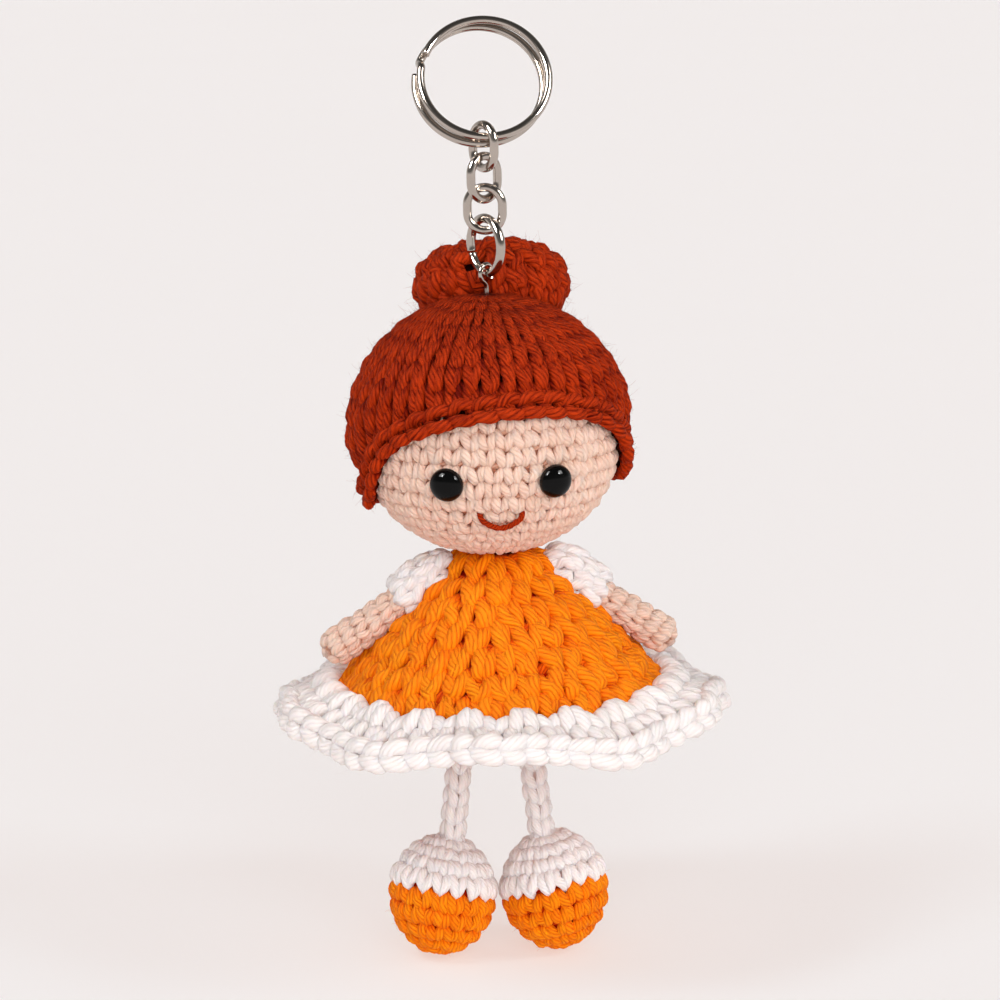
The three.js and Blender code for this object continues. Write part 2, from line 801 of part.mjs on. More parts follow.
for (const { side, point, normal, washerSeat } of eyes) {
  const name = side > 0 ? 'left' : 'right';
  piece(doll, `safety_eye_${name}`, aimed(eyeGeometry(), point, normal), materials.glossBlack);
  const plate = ringPlate(eyeShankRadius + seatGap, washerRadius, washerThickness, limbSides);
  piece(doll, `eye_washer_${name}`, aimed(plate, washerSeat, normal), materials.nylon);
}
piece(doll, 'mouth', wire(new MouthCurve(), mouthYarn, 14, fineSides), materials.hair);

// Head cover and its filling
const neckHole = solid(turned([
  [0, -headDrop - 1], [neckHoleRadius, -headDrop - 1], [neckHoleRadius, 0], [0, 0],
], 20));
const headCavity = solid(headGeometry(-clothWall, insideSides, 10));
piece(doll, 'head', cutAll(
  solid(headGeometry(0, headSides, 14)), [headCavity, neckHole, pinCutter, ...shankCutters],
), materials.skin);
piece(doll, 'head_stuffing', cutAll(
  solid(headGeometry(-clothWall - seatGap, insideSides, 10)), [pinCutter, ...washerCutters],
), materials.filling);

// Wig cap, its corded edge and the bun
piece(doll, 'hair_cap', cutAll(
  solid(hairCapGeometry()), [solid(hairRimGeometry(seatGap)), pinCutter],
), materials.hair);
piece(doll, 'hair_rim', hairRimGeometry(0), materials.hair);

const wigCutter = solid(turned(
  eggProfile(hairRadius + seatGap, hairHeight + seatGap, hairHeight + seatGap, 16), headSides,
).translate(0, 0, hairCentre));
const bunCavity = solid(bunGeometry(bunWall, insideSides)).subtract(solid(dimpleGeometry(bunWall)));
piece(doll, 'hair_bun', cutAll(
  solid(bunGeometry(0, 24)), [solid(dimpleGeometry(0)), bunCavity, wigCutter, pinCutter],
), materials.hair);
piece(doll, 'bun_stuffing', cutAll(
  solid(bunGeometry(bunWall + seatGap, insideSides)), [solid(dimpleGeometry(bunWall + seatGap)), wigCutter],
), materials.filling);

// Torso, dress and ruffle, each with room for the shoulders and the head above
const headCutter = solid(headGeometry(seatGap, headSides, 16));
const shoulderCutters = [1, -1].map((side) => (
  solid(socket(sleeveRadius, shoulderPoint(side)))
));
const hipCutters = [1, -1].map((side) => solid(socket(hipBallRadius, hipPoint(side))));
const torsoCavity = solid(torsoGeometry(clothWall, 0));
piece(doll, 'torso', cutAll(
  solid(torsoGeometry(0, neckLevel + 3)), [torsoCavity, headCutter, ...shoulderCutters, ...hipCutters],
), materials.skin);
piece(doll, 'torso_stuffing', cutAll(
  solid(torsoGeometry(clothWall + seatGap, neckLevel - 1)), [...shoulderCutters, ...hipCutters],
), materials.filling);

const bellWallAcross = dressWall * Math.hypot(
  1, (dressHemRadius - dressTopRadius) / (dressTopLevel - dressHemLevel),
);
const dressBell = solid(bellGeometry(0, dressHemLevel));
const skirtHollow = solid(bellGeometry(bellWallAcross, dressHemLevel - 1));
piece(doll, 'dress', cutAll(
  dressBell, [skirtHollow, solid(torsoGeometry(-seatGap, 0)), headCutter, ...shoulderCutters],
), materials.orange);
piece(doll, 'dress_ruffle', ruffleGeometry(), materials.white);

// Arms: the sleeve is a ball about the shoulder joint, so it turns in the armhole without touching
const dressCutter = solid(bellGeometry(-seatGap, dressHemLevel - seatGap));
for (const side of [1, -1]) {
  const name = side > 0 ? 'left' : 'right';
  const [shoulder, direction] = [shoulderPoint(side), armDirection(side)];
  const place = (profile, sides) => solid(aimed(turned(profile, sides), shoulder, direction));
  const shoulderBall = solid(ball(sleeveRadius, shoulder));
  const sleeveBody = place(sleeveProfile(), limbSides).subtract(dressCutter).add(shoulderBall);
  piece(doll, `arm_${name}`, place(armProfile(0), limbSides).subtract(
    dressCutter.subtract(shoulderBall),
  ), materials.skin);
  piece(doll, `sleeve_${name}`, sleeveBody.subtract(
    place(armProfile(seatGap), limbSides),
  ), materials.white);
}

// Legs and feet
for (const side of [1, -1]) {
  const name = side > 0 ? 'left' : 'right';
  const [hip, ankle] = [hipPoint(side), anklePoint(side)];
  const legAxis = hip.clone().sub(ankle);
  const legLength = legAxis.length();
  piece(doll, `leg_${name}`, aimed(
    turned(legProfile(legLength), limbSides), ankle, legAxis.normalize(),
  ), materials.white);

  const ankleCutter = solid(socket(legRadius, ankle));
  const footBall = solid(footGeometry(0, side, 20));
  const footCavity = solid(footGeometry(clothWall, side, limbSides));
  const footShell = cutAll(footBall, [footCavity, ankleCutter]);
  piece(doll, `sock_${name}`, footShell.intersect(solid(footSplitter(side, true))), materials.white);
  piece(doll, `shoe_${name}`, footShell.intersect(solid(footSplitter(side, false))), materials.orange);
  piece(doll, `foot_stuffing_${name}`, cutAll(
    solid(footGeometry(clothWall + seatGap, side, limbSides)), [ankleCutter],
  ), materials.filling);
}

// Pivots of everything that moves, in the keychain's frame
keychain.userData.pivots = {
  ringFoot: ringFoot.toArray(),
  linkFoots: linkFoots.map((level) => [0, chainY, level]),
  jumpFoot: [0, chainY, jumpFoot],
  shoulders: [1, -1].map((side) => shoulderPoint(side).add(doll.position).toArray()),
  hips: [1, -1].map((side) => hipPoint(side).add(doll.position).toArray()),
  ankles: [1, -1].map((side) => anklePoint(side).add(doll.position).toArray()),
  doll: doll.position.toArray(),
};

export default keychain;
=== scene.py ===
import math

import bpy
import numpy as np
from mathutils import Matrix, Vector


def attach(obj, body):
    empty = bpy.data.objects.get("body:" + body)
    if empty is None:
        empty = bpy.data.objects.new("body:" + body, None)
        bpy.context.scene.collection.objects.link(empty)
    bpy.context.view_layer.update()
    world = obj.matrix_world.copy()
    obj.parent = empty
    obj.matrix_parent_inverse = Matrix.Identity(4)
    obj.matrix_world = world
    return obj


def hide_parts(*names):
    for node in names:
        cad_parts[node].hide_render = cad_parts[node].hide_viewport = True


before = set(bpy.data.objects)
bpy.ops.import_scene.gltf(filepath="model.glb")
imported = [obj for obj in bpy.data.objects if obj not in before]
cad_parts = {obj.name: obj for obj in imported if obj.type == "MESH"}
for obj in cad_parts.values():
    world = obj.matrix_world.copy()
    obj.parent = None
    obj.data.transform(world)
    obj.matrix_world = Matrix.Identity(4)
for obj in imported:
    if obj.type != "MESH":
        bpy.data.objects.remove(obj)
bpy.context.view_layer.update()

# All lengths below are in millimetres; the doll's own lengths are from the middle of its head.
MM = 0.001
TURN = 2 * math.pi
CHAIN_Y = -10.6052
DOLL = np.array([0.0, CHAIN_Y, -73.8918])
FLOOR = -169.7
SIDES = ((1, "left"), (-1, "right"))
# Material slots of a piece of yarn: its strands and its loose fibres
STRAND, FIBRE = 0, 1
# Rings along a loose fibre
FIBRE_RINGS = 5


def unit(v):
    return v / np.maximum(np.linalg.norm(v, axis=-1, keepdims=True), 1e-9)


def smooth_weights(count, samples):
    """Weights that carry control points to points on a smooth curve through them."""
    eye = np.eye(count)
    line = np.vstack([2 * eye[0] - eye[1], eye, 2 * eye[-1] - eye[-2]])
    t = np.linspace(0, count - 1, samples)
    i = np.minimum(t.astype(int), count - 2)
    f = (t - i)[:, None]
    a, b, c, d = line[i], line[i + 1], line[i + 2], line[i + 3]
    return 0.5 * (2 * b + (c - a) * f + (2 * a - 5 * b + 4 * c - d) * f**2 + (3 * b - a - 3 * c + d) * f**3)


def ease(x, low, high):
    s = np.clip((x - low) / (high - low), 0, 1)
    return s * s * (3 - 2 * s)


# Surfaces that the stitches lie on


class Turned:
    """A turned surface: radius and level along an outline whose outer side is on its left hand."""

    def __init__(self, outline, matrix=np.eye(3), shift=(0, 0, 0)):
        p = np.array(outline, float)
        self.d = np.concatenate([[0], np.cumsum(np.hypot(*np.diff(p, axis=0).T))])
        self.length = self.d[-1]
        self.r, self.z = p[:, 0], p[:, 1]
        dr, dz = np.gradient(self.r, self.d), np.gradient(self.z, self.d)
        size = np.hypot(dr, dz)
        self.nr, self.nz = -dz / size, dr / size
        self.matrix = np.array(matrix, float)
        self.back = np.linalg.inv(self.matrix)
        self.shift = np.array(shift, float) + DOLL

    def radius(self, along):
        return np.interp(along, self.d, self.r)

    def at(self, turn, along, height):
        r, z, nr, nz = (np.interp(along, self.d, v) for v in (self.r, self.z, self.nr, self.nz))
        p = polar(turn, r, z) @ self.matrix.T + self.shift
        n = unit(polar(turn, nr, nz) @ self.back)
        return p + np.asarray(height)[..., None] * n, n


def around(count):
    return np.linspace(0, TURN, count, endpoint=False)


def polar(turn, r, z):
    """Places at a radius and level, where turn is 0 in front and grows towards the doll's left."""
    return np.stack(np.broadcast_arrays(np.sin(turn) * r, -np.cos(turn) * r, z), -1)


def egg(radius, rise, drop):
    """Outline of a ball with unlike half heights, from the top to the bottom."""
    a = np.linspace(0, math.pi, 160)
    return [(math.sin(t) * radius, math.cos(t) * (rise if t < math.pi / 2 else drop)) for t in a]


def arc(radius, level, start, end, count, drop=None):
    """Part of a ball's outline between two angles below its middle; drop is its half height if not round."""
    return [(radius * math.cos(t), level - (drop or radius) * math.sin(t)) for t in np.linspace(start, end, count)]


def rotation(axis, degrees):
    return np.array(Matrix.Rotation(math.radians(degrees), 3, axis))


def aimed(up, direction):
    """Matrix that turns the vertical, +1 or -1, to a direction."""
    return np.array(Vector((0, 0, up)).rotation_difference(Vector(direction)).to_matrix())


# Yarn: swept strands with twisted plies


class Yarns:
    """Gathers strands of yarn and makes one mesh of them."""

    def __init__(self, seed):
        self.rng = np.random.default_rng(seed)
        self.parts = []
        self.count = 0

    def add(self, path, radius, up, sides=10, plies=3, lobe=0.09, pitch=8.0, depth=None, slot=STRAND):
        """path and up are (strand, ring, 3), radius and depth (strand, ring); plies turn once in a pitch."""
        m, n, _ = path.shape
        radius = np.broadcast_to(radius, (m, n))
        depth = np.ones((m, n)) if depth is None else np.broadcast_to(depth, (m, n))
        tangent = unit(np.gradient(path, axis=1))
        side = unit(np.cross(tangent, up))
        out = np.cross(side, tangent)
        step = np.linalg.norm(np.diff(path, axis=1), axis=2)
        along = np.concatenate([np.zeros((m, 1)), np.cumsum(step, 1)], 1)
        lay = self.rng.uniform(0, 1, (m, 1)) + along / pitch
        a = np.arange(sides) / sides
        bulge = 1 + lobe * np.cos(TURN * plies * (a - lay[..., None]))
        reach = (radius[..., None] * bulge)[..., None]
        spoke = np.cos(TURN * a)[:, None] * side[:, :, None] + np.sin(TURN * a)[:, None] * out[:, :, None]
        co = path[:, :, None] + reach * spoke

        i, j = np.meshgrid(np.arange(n - 1), np.arange(sides), indexing="ij")
        k = (j + 1) % sides
        quad = np.stack([i * sides + j, (i + 1) * sides + j, (i + 1) * sides + k, i * sides + k], -1).reshape(-1, 4)
        first = (np.arange(m) * n * sides)[:, None, None] + self.count
        quads = (quad[None] + first).reshape(-1, 4)
        caps = np.stack([np.arange(sides), np.arange(sides)[::-1] + (n - 1) * sides])
        caps = (caps[None] + first).reshape(-1, sides)

        number = self.rng.uniform(0, 1, (m, 1))
        u = along + 90 * number
        ring = np.stack([i, i + 1, i + 1, i], -1).reshape(-1, 4)
        slot_j = np.stack([j, j, j + 1, j + 1], -1).reshape(-1, 4)
        uv = np.stack([u[:, ring], plies * (slot_j / sides - lay[:, ring])], -1)
        cap_uv = np.zeros((len(caps), sides, 2))
        # Each strand's own number and its depth, which its material reads; the depth becomes painted shade where a
        # strand dips in
        tone = np.zeros((m, n, sides, 4), np.float32)
        tone[..., 0], tone[..., 1], tone[..., 3] = number[..., None], depth[..., None], 1
        self.parts.append(dict(co=co.reshape(-1, 3), quads=quads, caps=caps, uv=uv.reshape(-1, 2), slot=slot,
                               cap_uv=cap_uv.reshape(-1, 2), tone=tone.reshape(-1, 4),
                               away=unit(spoke).reshape(-1, 3)))
        self.count += co.shape[0] * n * sides

    def every(self, key, slots=(STRAND, FIBRE)):
        return np.concatenate([part[key] for part in self.parts if part["slot"] in slots])

    def fuzz(self, amount, length, radius):
        """Loose fibres that stand off the outer strands, mirrored outwards where they would run inside."""
        co, tone, away = (self.every(key, (STRAND,)) for key in ("co", "tone", "away"))
        pick = self.rng.choice(np.flatnonzero(tone[:, 1] > 0.5), amount)
        t = np.linspace(0, 1, FIBRE_RINGS)[None, :, None]
        reach = length * self.rng.gamma(2.2, 0.45, (amount, 1, 1))
        start, out = co[pick][:, None], away[pick][:, None]
        lean = unit(self.rng.normal(0, 1, (amount, 1, 3)))
        curl = unit(self.rng.normal(0, 1, (amount, 1, 3)))
        path = start + reach * (t * (0.35 * out + 0.75 * lean) + 0.55 * t**2 * curl)
        inside = np.minimum(np.sum((path - start) * out, -1, keepdims=True), 0)
        path = path - 1.6 * inside * out
        taper = np.linspace(1, 0.55, FIBRE_RINGS)[None]
        self.add(path, radius * taper, out + 0 * path, sides=3, lobe=0, slot=FIBRE)

    def mesh(self, name, look, body, *nodes):
        loops, starts, uvs, slots, at = [], [], [], [], 0
        for part in self.parts:
            for faces, coords in ((part["quads"], part["uv"]), (part["caps"], part["cap_uv"])):
                loops.append(faces.ravel())
                starts.append(at + np.arange(len(faces)) * faces.shape[1])
                uvs.append(coords)
                slots.append(np.full(len(faces), part["slot"]))
                at += faces.size
        return make_mesh(name, self.every("co"), loops, starts, slots, look, body, nodes, self.every("tone"), uvs)


def new_object(name, data):
    obj = bpy.data.objects.new(name, data)
    bpy.context.scene.collection.objects.link(obj)
    return obj


def make_mesh(name, co, loops, starts, slots, look, body, nodes, tone, uvs=()):
    """The faces come as lists of arrays, and look is a slot name with its material; the slot name is not used."""
    loops, starts, slots = (np.concatenate(v) for v in (loops, starts, slots))
    data = bpy.data.meshes.new(name)
    data.vertices.add(len(co))
    data.vertices.foreach_set("co", (np.asarray(co) * MM).astype(np.float32).ravel())
    data.loops.add(len(loops))
    data.loops.foreach_set("vertex_index", loops.astype(np.int32))
    data.polygons.add(len(starts))
    data.polygons.foreach_set("loop_start", starts.astype(np.int32))
    data.polygons.foreach_set("material_index", slots.astype(np.int32))
    if uvs:
        layer = data.uv_layers.new(name="yarn")
        layer.data.foreach_set("uv", np.concatenate(uvs).astype(np.float32).ravel())
    layer = data.color_attributes.new("tone", "FLOAT_COLOR", "POINT")
    layer.data.foreach_set("color", tone.astype(np.float32).ravel())
    data.update(calc_edges=True)
    data.validate()
    data.polygons.foreach_set("use_smooth", np.full(len(starts), True))
    slot, material = look
    for _ in range(slots.max() + 1):
        data.materials.append(material)
    obj = new_object(name, data)
    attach(obj, body)
    if nodes:
        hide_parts(*nodes)
    return obj


def grid_mesh(name, rings, look, body, nodes=(), looped=False):
    """A skin over a stack of closed rings, (ring, point, 3), capped unless the stack itself is looped."""
    rings = np.asarray(rings, float)
    n, k, _ = rings.shape
    last = n if looped else n - 1
    i, j = np.meshgrid(np.arange(last), np.arange(k), indexing="ij")
    i2, j2 = (i + 1) % n, (j + 1) % k
    quads = np.stack([i * k + j, i2 * k + j, i2 * k + j2, i * k + j2], -1).reshape(-1, 4)
    co = rings.reshape(-1, 3)
    loops, starts = [quads.ravel()], [np.arange(len(quads)) * 4]
    if not looped:
        caps = np.stack([np.arange(k), np.arange(k)[::-1] + (n - 1) * k])
        loops.append(caps.ravel())
        starts.append(quads.size + np.arange(2) * k)
    slots = [np.zeros(len(v), int) for v in starts]
    # Depth 0 at every point: a yarn look draws the whole skin, linings and filling alike, in its painted shade
    return make_mesh(name, co, loops, starts, slots, look, body, nodes, np.tile([0.5, 0, 0, 1], (len(co), 1)))


# Stitches

# Each row of a strand's shape: across in stitch widths, up in row heights, height and girth in yarn radii.
LEG = [(-0.3, 1.1, -1.3, 0.55), (-0.31, 0.86, -0.25, 0.92), (-0.25, 0.48, 0.1, 1.0),
       (-0.15, 0.14, -0.15, 0.92), (-0.05, -0.14, -1.3, 0.55)]
BAR = [(-0.6, 1.0, -0.9, 0.8), (-0.25, 1.06, -0.7, 0.9), (0.25, 1.06, -0.7, 0.9),
       (0.6, 1.0, -0.9, 0.8)]


def rows_down(surface, start, end, height, width, phase=0.37):
    """Rows of stitches between two places along a surface: foot, head, count and first turn of each."""
    count = max(1, round((end - start) / height))
    edges = np.linspace(start, end, count + 1)
    rows = []
    for i, (head, foot) in enumerate(zip(edges[:-1], edges[1:])):
        n = max(5, round(TURN * surface.radius((head + foot) / 2) / width))
        rows.append((foot, head, n, i * phase * TURN / n))
    return rows


def stitch(yarns, surface, rows, shape, radius, proud=0.3, mirrored=True, jitter=0.03, spiral=0.0, samples=11,
           keep=None, warp=None, **look):
    """Lays rows of one shape on a surface, each stitch a mirrored pair of strands or a single one."""
    weights = smooth_weights(len(shape), samples)
    shape = np.array(shape, float)
    rng = yarns.rng
    for foot, head, count, first in rows:
        for hand in ((1, -1) if mirrored else (1,)):
            control = np.tile(shape, (count, 1, 1))
            control[..., 0] *= hand
            control[..., :3] += rng.normal(0, jitter, control[..., :3].shape) * [1, 0.7, 1.2]
            control[..., :2] += rng.normal(0, jitter, (count, 1, 2)) * [0.6, 0.9]
            control[..., 3] *= rng.normal(1, jitter, (count, 1))
            p = np.einsum("sc,kcd->ksd", weights, control)
            turn = first - math.pi + (np.arange(count)[:, None] + 0.5 + p[..., 0]) * TURN / count
            share = (turn + math.pi) / TURN
            along = foot + p[..., 1] * (head - foot) + spiral * (share - 0.5)
            local = radius(along) if callable(radius) else radius
            height = (p[..., 2] - 1) * local + proud
            place, normal = surface.at(turn, along, height)
            if warp is not None:
                place = warp(place)
            girth = p[..., 3] * local
            # How far the strand rises; its material paints shade where it dips in
            depth = ease(p[..., 2], -1.1, 0.25)
            if keep is not None:
                kept = keep(place.mean(1), turn.mean(1))
                place, normal, girth, depth = place[kept], normal[kept], girth[kept], depth[kept]
            if len(place):
                yarns.add(place, girth, normal, depth=depth, **look)


# A plait's strand: along in links, across in widths, height and girth in yarn radii.
SLIM = [(0.0, 0.0, -1.1, 0.55), (0.25, 0.42, -0.05, 0.92), (0.72, 0.98, 0.55, 1.06), (1.18, 0.92, 0.25, 1.0),
        (1.55, 0.35, -1.1, 0.58)]
PLUMP = [(0.02, 0.02, -0.9, 0.6), (0.2, 0.45, 0.05, 0.98), (0.55, 0.98, 0.4, 1.08), (0.95, 1.02, 0.1, 1.02),
         (1.25, 0.55, -0.95, 0.6)]


def plait(yarns, frame_at, width, radius, count, shape, jitter, **look):
    """A chain of Vs; frame_at gives its centre, outward and sideways directions at a place in links."""
    shape = np.array(shape)
    weights = smooth_weights(len(shape), 13)
    for hand in (1, -1):
        control = np.tile(shape, (count, 1, 1))
        control[..., 1] *= hand
        control[..., :3] += yarns.rng.normal(0, jitter, control[..., :3].shape)
        p = np.einsum("sc,kcd->ksd", weights, control)
        s = np.arange(count)[:, None] + p[..., 0]
        centre, out, across = frame_at(s)
        path = centre + (p[..., 1] * width)[..., None] * across + (p[..., 2] * radius)[..., None] * out
        # The depth paints shade on the strands where they dip in
        yarns.add(path, p[..., 3] * radius, out, depth=ease(p[..., 2], -0.7, 0.3), **look)


# Kinds of yarn as geometry: plies, their relief, millimetres in a turn and sides of a strand
FINE = dict(lobe=0.06, pitch=7.0, sides=12)
RUSTY = dict(pitch=7.5, sides=12)
FOUR_PLY = dict(plies=4, lobe=0.06, pitch=9.0, sides=14)
BOLD = dict(plies=4, lobe=0.07, pitch=11.0)
RUFFLE_PLY = dict(plies=4, lobe=0.06, pitch=11.0, sides=16)

# Materials


def nodes_of(name):
    material = bpy.data.materials.new(name)
    material.use_nodes = True
    tree = material.node_tree
    return material, tree, tree.nodes["Principled BSDF"]


def put(tree, made, values):
    """Gives a node's inputs, by name or number, their values or links them to another node's output."""
    for key, value in values.items():
        if isinstance(value, bpy.types.NodeSocket):
            tree.links.new(value, made.inputs[key])
        else:
            made.inputs[key].default_value = value


def node(tree, kind, **values):
    """A new node; each value goes to the input of that name or else to the node's own property."""
    made = tree.nodes.new(kind)
    for key, value in values.items():
        if key in made.inputs.keys():
            put(tree, made, {key: value})
        else:
            setattr(made, key, value)
    return made


def maths(tree, operation, *values, clamp=False):
    made = node(tree, "ShaderNodeMath", operation=operation, use_clamp=clamp)
    put(tree, made, dict(enumerate(values)))
    return made.outputs[0]


def ramp_node(tree, value, stops):
    made = node(tree, "ShaderNodeValToRGB", Fac=value)
    ramp = made.color_ramp
    while len(ramp.elements) < len(stops):
        ramp.elements.new(0.5)
    for element, (position, color) in zip(ramp.elements, stops):
        element.position = position
        element.color = (*color, 1)
    return made.outputs["Color"]


def rgb(r, g, b):
    """Screen colour to linear light."""
    return tuple((v / 255 / 12.92) if v <= 10 else ((v / 255 + 0.055) / 1.055) ** 2.4 for v in (r, g, b))


def yarn_look(name, deep, base, light, slot=None, fibre=0.4, groove=0.3, bump=0.9, sheen=0.1, sheen_tint=(1, 1, 1),
              subsurface=0.0, mottle=0.12, depth_shade=0.6, gloss=0.12):
    """Twisted yarn: each ply split into two finer ones with grooves between them, and fibres along each; painted shade
    darkens the grooves and wherever a strand dips in.
    """
    material, tree, shader = nodes_of(name)
    uv = node(tree, "ShaderNodeUVMap", uv_map="yarn").outputs["UV"]
    along, across, _ = node(tree, "ShaderNodeSeparateXYZ", Vector=uv).outputs
    tone = node(tree, "ShaderNodeAttribute", attribute_name="tone").outputs["Color"]
    number, depth, _ = node(tree, "ShaderNodeSeparateColor", Color=tone).outputs
    # Fibres run along each ply
    place = node(tree, "ShaderNodeCombineXYZ", X=maths(tree, "MULTIPLY", along, 0.6),
                 Y=maths(tree, "MULTIPLY", across, 4.4), Z=maths(tree, "MULTIPLY", number, 61.0)).outputs[0]
    fibres = node(tree, "ShaderNodeTexNoise", Vector=place, Scale=1.0, Detail=3.0, Roughness=0.65).outputs["Fac"]
    # The rounded crest of each fine ply, 0 in the groove between two; it raises the bump and, in the colour, paints
    # shade into the grooves
    crest = maths(tree, "COSINE", maths(tree, "MULTIPLY", across, TURN))
    crest = maths(tree, "POWER", maths(tree, "ABSOLUTE", crest), 0.6)
    # Patches of lighter and darker dye
    spot = node(tree, "ShaderNodeTexCoord").outputs["Object"]
    dye = node(tree, "ShaderNodeTexNoise", Vector=spot, Scale=140.0, Detail=2.0).outputs["Fac"]
    fine, patch, own = (maths(tree, "SUBTRACT", value, 0.5) for value in (fibres, dye, number))
    # Colour: painted shade where a strand dips in and between plies, with real fibres, dye patches and each strand's
    # own tone; deep is the shaded end
    total = 0.54 - depth_shade * 0.7 - groove * 0.75
    for value, weight in ((depth, depth_shade), (fine, fibre * 2), (crest, groove), (patch, mottle * 2), (own, mottle)):
        total = maths(tree, "MULTIPLY_ADD", value, weight, total)
    stops = [(at, rgb(*shade)) for at, shade in ((0.0, deep), (0.5, base), (1.0, light))]
    height = maths(tree, "MULTIPLY_ADD", fibres, 0.7, crest)
    raised = node(tree, "ShaderNodeBump", Strength=bump, Distance=0.00022, Height=height).outputs["Normal"]
    put(tree, shader, {"Base Color": ramp_node(tree, total, stops), "Normal": raised,
                       "Roughness": maths(tree, "MULTIPLY_ADD", fibres, 0.25, 0.55), "Specular IOR Level": gloss,
                       "Sheen Weight": sheen, "Sheen Roughness": 0.4, "Sheen Tint": (*sheen_tint, 1)})
    if subsurface:
        put(tree, shader, {"Subsurface Weight": subsurface, "Subsurface Radius": (1.0, 0.6, 0.4),
                           "Subsurface Scale": 0.0014})
    return slot or name, material


def clouded(tree, shader, color, dark, scale, detail):
    """Colours a shader by soft clouds between a darker shade and its colour; gives the place and the clouds."""
    spot = node(tree, "ShaderNodeTexCoord").outputs["Object"]
    cloud = node(tree, "ShaderNodeTexNoise", Vector=spot, Scale=scale, Detail=detail).outputs["Fac"]
    put(tree, shader, {"Base Color": ramp_node(tree, cloud, [(0.3, tuple(dark * c for c in color)), (0.7, color)])})
    return spot, cloud


def metal_material(name, color, rough):
    material, tree, shader = nodes_of(name)
    spot, cloud = clouded(tree, shader, color, 0.9, 260.0, 4.0)
    scratch = node(tree, "ShaderNodeTexNoise", Vector=spot, Scale=2400.0, Detail=3.0).outputs["Fac"]
    raised = node(tree, "ShaderNodeBump", Strength=0.08, Distance=0.00002, Height=scratch).outputs["Normal"]
    put(tree, shader, {"Roughness": maths(tree, "MULTIPLY_ADD", cloud, 0.1, rough - 0.05), "Normal": raised,
                       "Metallic": 1.0})
    return material


def plastic_material(name, color, rough, gloss=0.3):
    material, tree, shader = nodes_of(name)
    _, cloud = clouded(tree, shader, color, 0.8, 500.0, 3.0)
    put(tree, shader, {"Roughness": maths(tree, "MULTIPLY_ADD", cloud, 0.04, rough), "Specular IOR Level": gloss})
    return material


# Each look is a slot of the record with its material
RUST = yarn_look("rust_yarn", (24, 1, 0), (104, 13, 1), (186, 54, 12), "hair_yarn", fibre=0.62, groove=0.22,
                 sheen=0.03, sheen_tint=(1.0, 0.3, 0.1), bump=1.0, depth_shade=0.95, gloss=0.03)
SKIN = yarn_look("skin_yarn", (188, 110, 78), (228, 186, 165), (244, 216, 202), fibre=0.2, groove=0.12, sheen=0.04,
                 subsurface=0.3, mottle=0.08, bump=0.7)
ORANGE = yarn_look("orange_yarn", (176, 26, 0), (240, 100, 1), (254, 148, 14), fibre=0.36, groove=0.26, sheen=0.04,
                   sheen_tint=(1, 0.6, 0.3), subsurface=0.1, bump=1.0, depth_shade=0.85, gloss=0.05)
WHITE = yarn_look("white_yarn", (214, 174, 162), (233, 222, 219), (246, 240, 238), fibre=0.14, groove=0.12,
                  sheen=0.04, subsurface=0.22, mottle=0.05, bump=0.6)
FILLING = yarn_look("fibre_filling", (205, 205, 200), (232, 232, 229), (246, 246, 244), "filling", fibre=0.2,
                    sheen=0.2)
NICKEL = "nickel", metal_material("nickel", (0.52, 0.46, 0.41), 0.11)
BLACK = "eye_black", plastic_material("eye_black", (0.003, 0.003, 0.003), 0.05, gloss=0.12)
NYLON = plastic_material("washer_nylon", (0.8, 0.8, 0.77), 0.45)

# Head

HEAD_RADIUS, HEAD_RISE, HEAD_DROP = 23.2, 24.3, 19.7
HEAD = Turned(egg(HEAD_RADIUS, HEAD_RISE, HEAD_DROP))


def head_spot(turn, level, out):
    high = np.where(level > 0, HEAD_RISE, HEAD_DROP)
    r = HEAD_RADIUS * np.sqrt(1 - (level / high) ** 2)
    p = polar(turn, r, level)
    n = unit(p / np.stack(np.broadcast_arrays(HEAD_RADIUS**2, HEAD_RADIUS**2, high**2), -1))
    return p + out * n + DOLL, n


def arch(turn):
    """Level of the wig's edge before its corners are rounded."""
    middle, half = math.radians(5.7), math.radians(75.8)
    rise = (1 - np.minimum(np.abs(turn - middle) / half, 1) ** 2.16) ** (1 / 2.16)
    behind = np.maximum(-np.cos(turn), 0) ** 2
    lift = (1.4 + 0.7 * np.sin(turn)) * ease(np.abs(turn - middle) / half, 0.85, 1.0) * (1 - behind)
    return -7.6 + 17.4 * rise + 0.75 * np.sin(turn) - 5 * behind + lift


def evenly(turn, level, count):
    turn, level = np.append(turn, turn[0] + TURN), np.append(level, level[0])
    far = np.concatenate([[0], np.cumsum(np.hypot(np.diff(turn) * HEAD_RADIUS, np.diff(level)))])
    at = np.linspace(0, far[-1], count, endpoint=False)
    return np.interp(at, far, turn), np.interp(at, far, level)


def smoothed(values, wrap):
    """Running mean along a closed line whose values grow by wrap in a round."""
    wing = 8
    long = np.concatenate([values[-wing:] - wrap, values, values[:wing] + wrap])
    return np.convolve(long, np.ones(2 * wing + 1) / (2 * wing + 1), "valid")


EDGE_PLACES = 180
raw = np.linspace(-math.pi, math.pi, 2 * EDGE_PLACES, endpoint=False)
sharp_turn, sharp_level = evenly(raw, arch(raw), EDGE_PLACES)
EDGE_TURN, EDGE_LEVEL = smoothed(sharp_turn, TURN), smoothed(sharp_level, 0)


def above_edge(place, turn):
    """How far a place on the head lies above the wig's edge, below 0 on the face."""
    level = place[:, 2] - DOLL[2]
    aside = (turn[:, None] - EDGE_TURN + math.pi) % TURN - math.pi
    near = np.hypot(aside * HEAD_RADIUS, level[:, None] - EDGE_LEVEL).min(1)
    return np.where(level > np.interp(turn, EDGE_TURN, EDGE_LEVEL, period=TURN), near, -near)


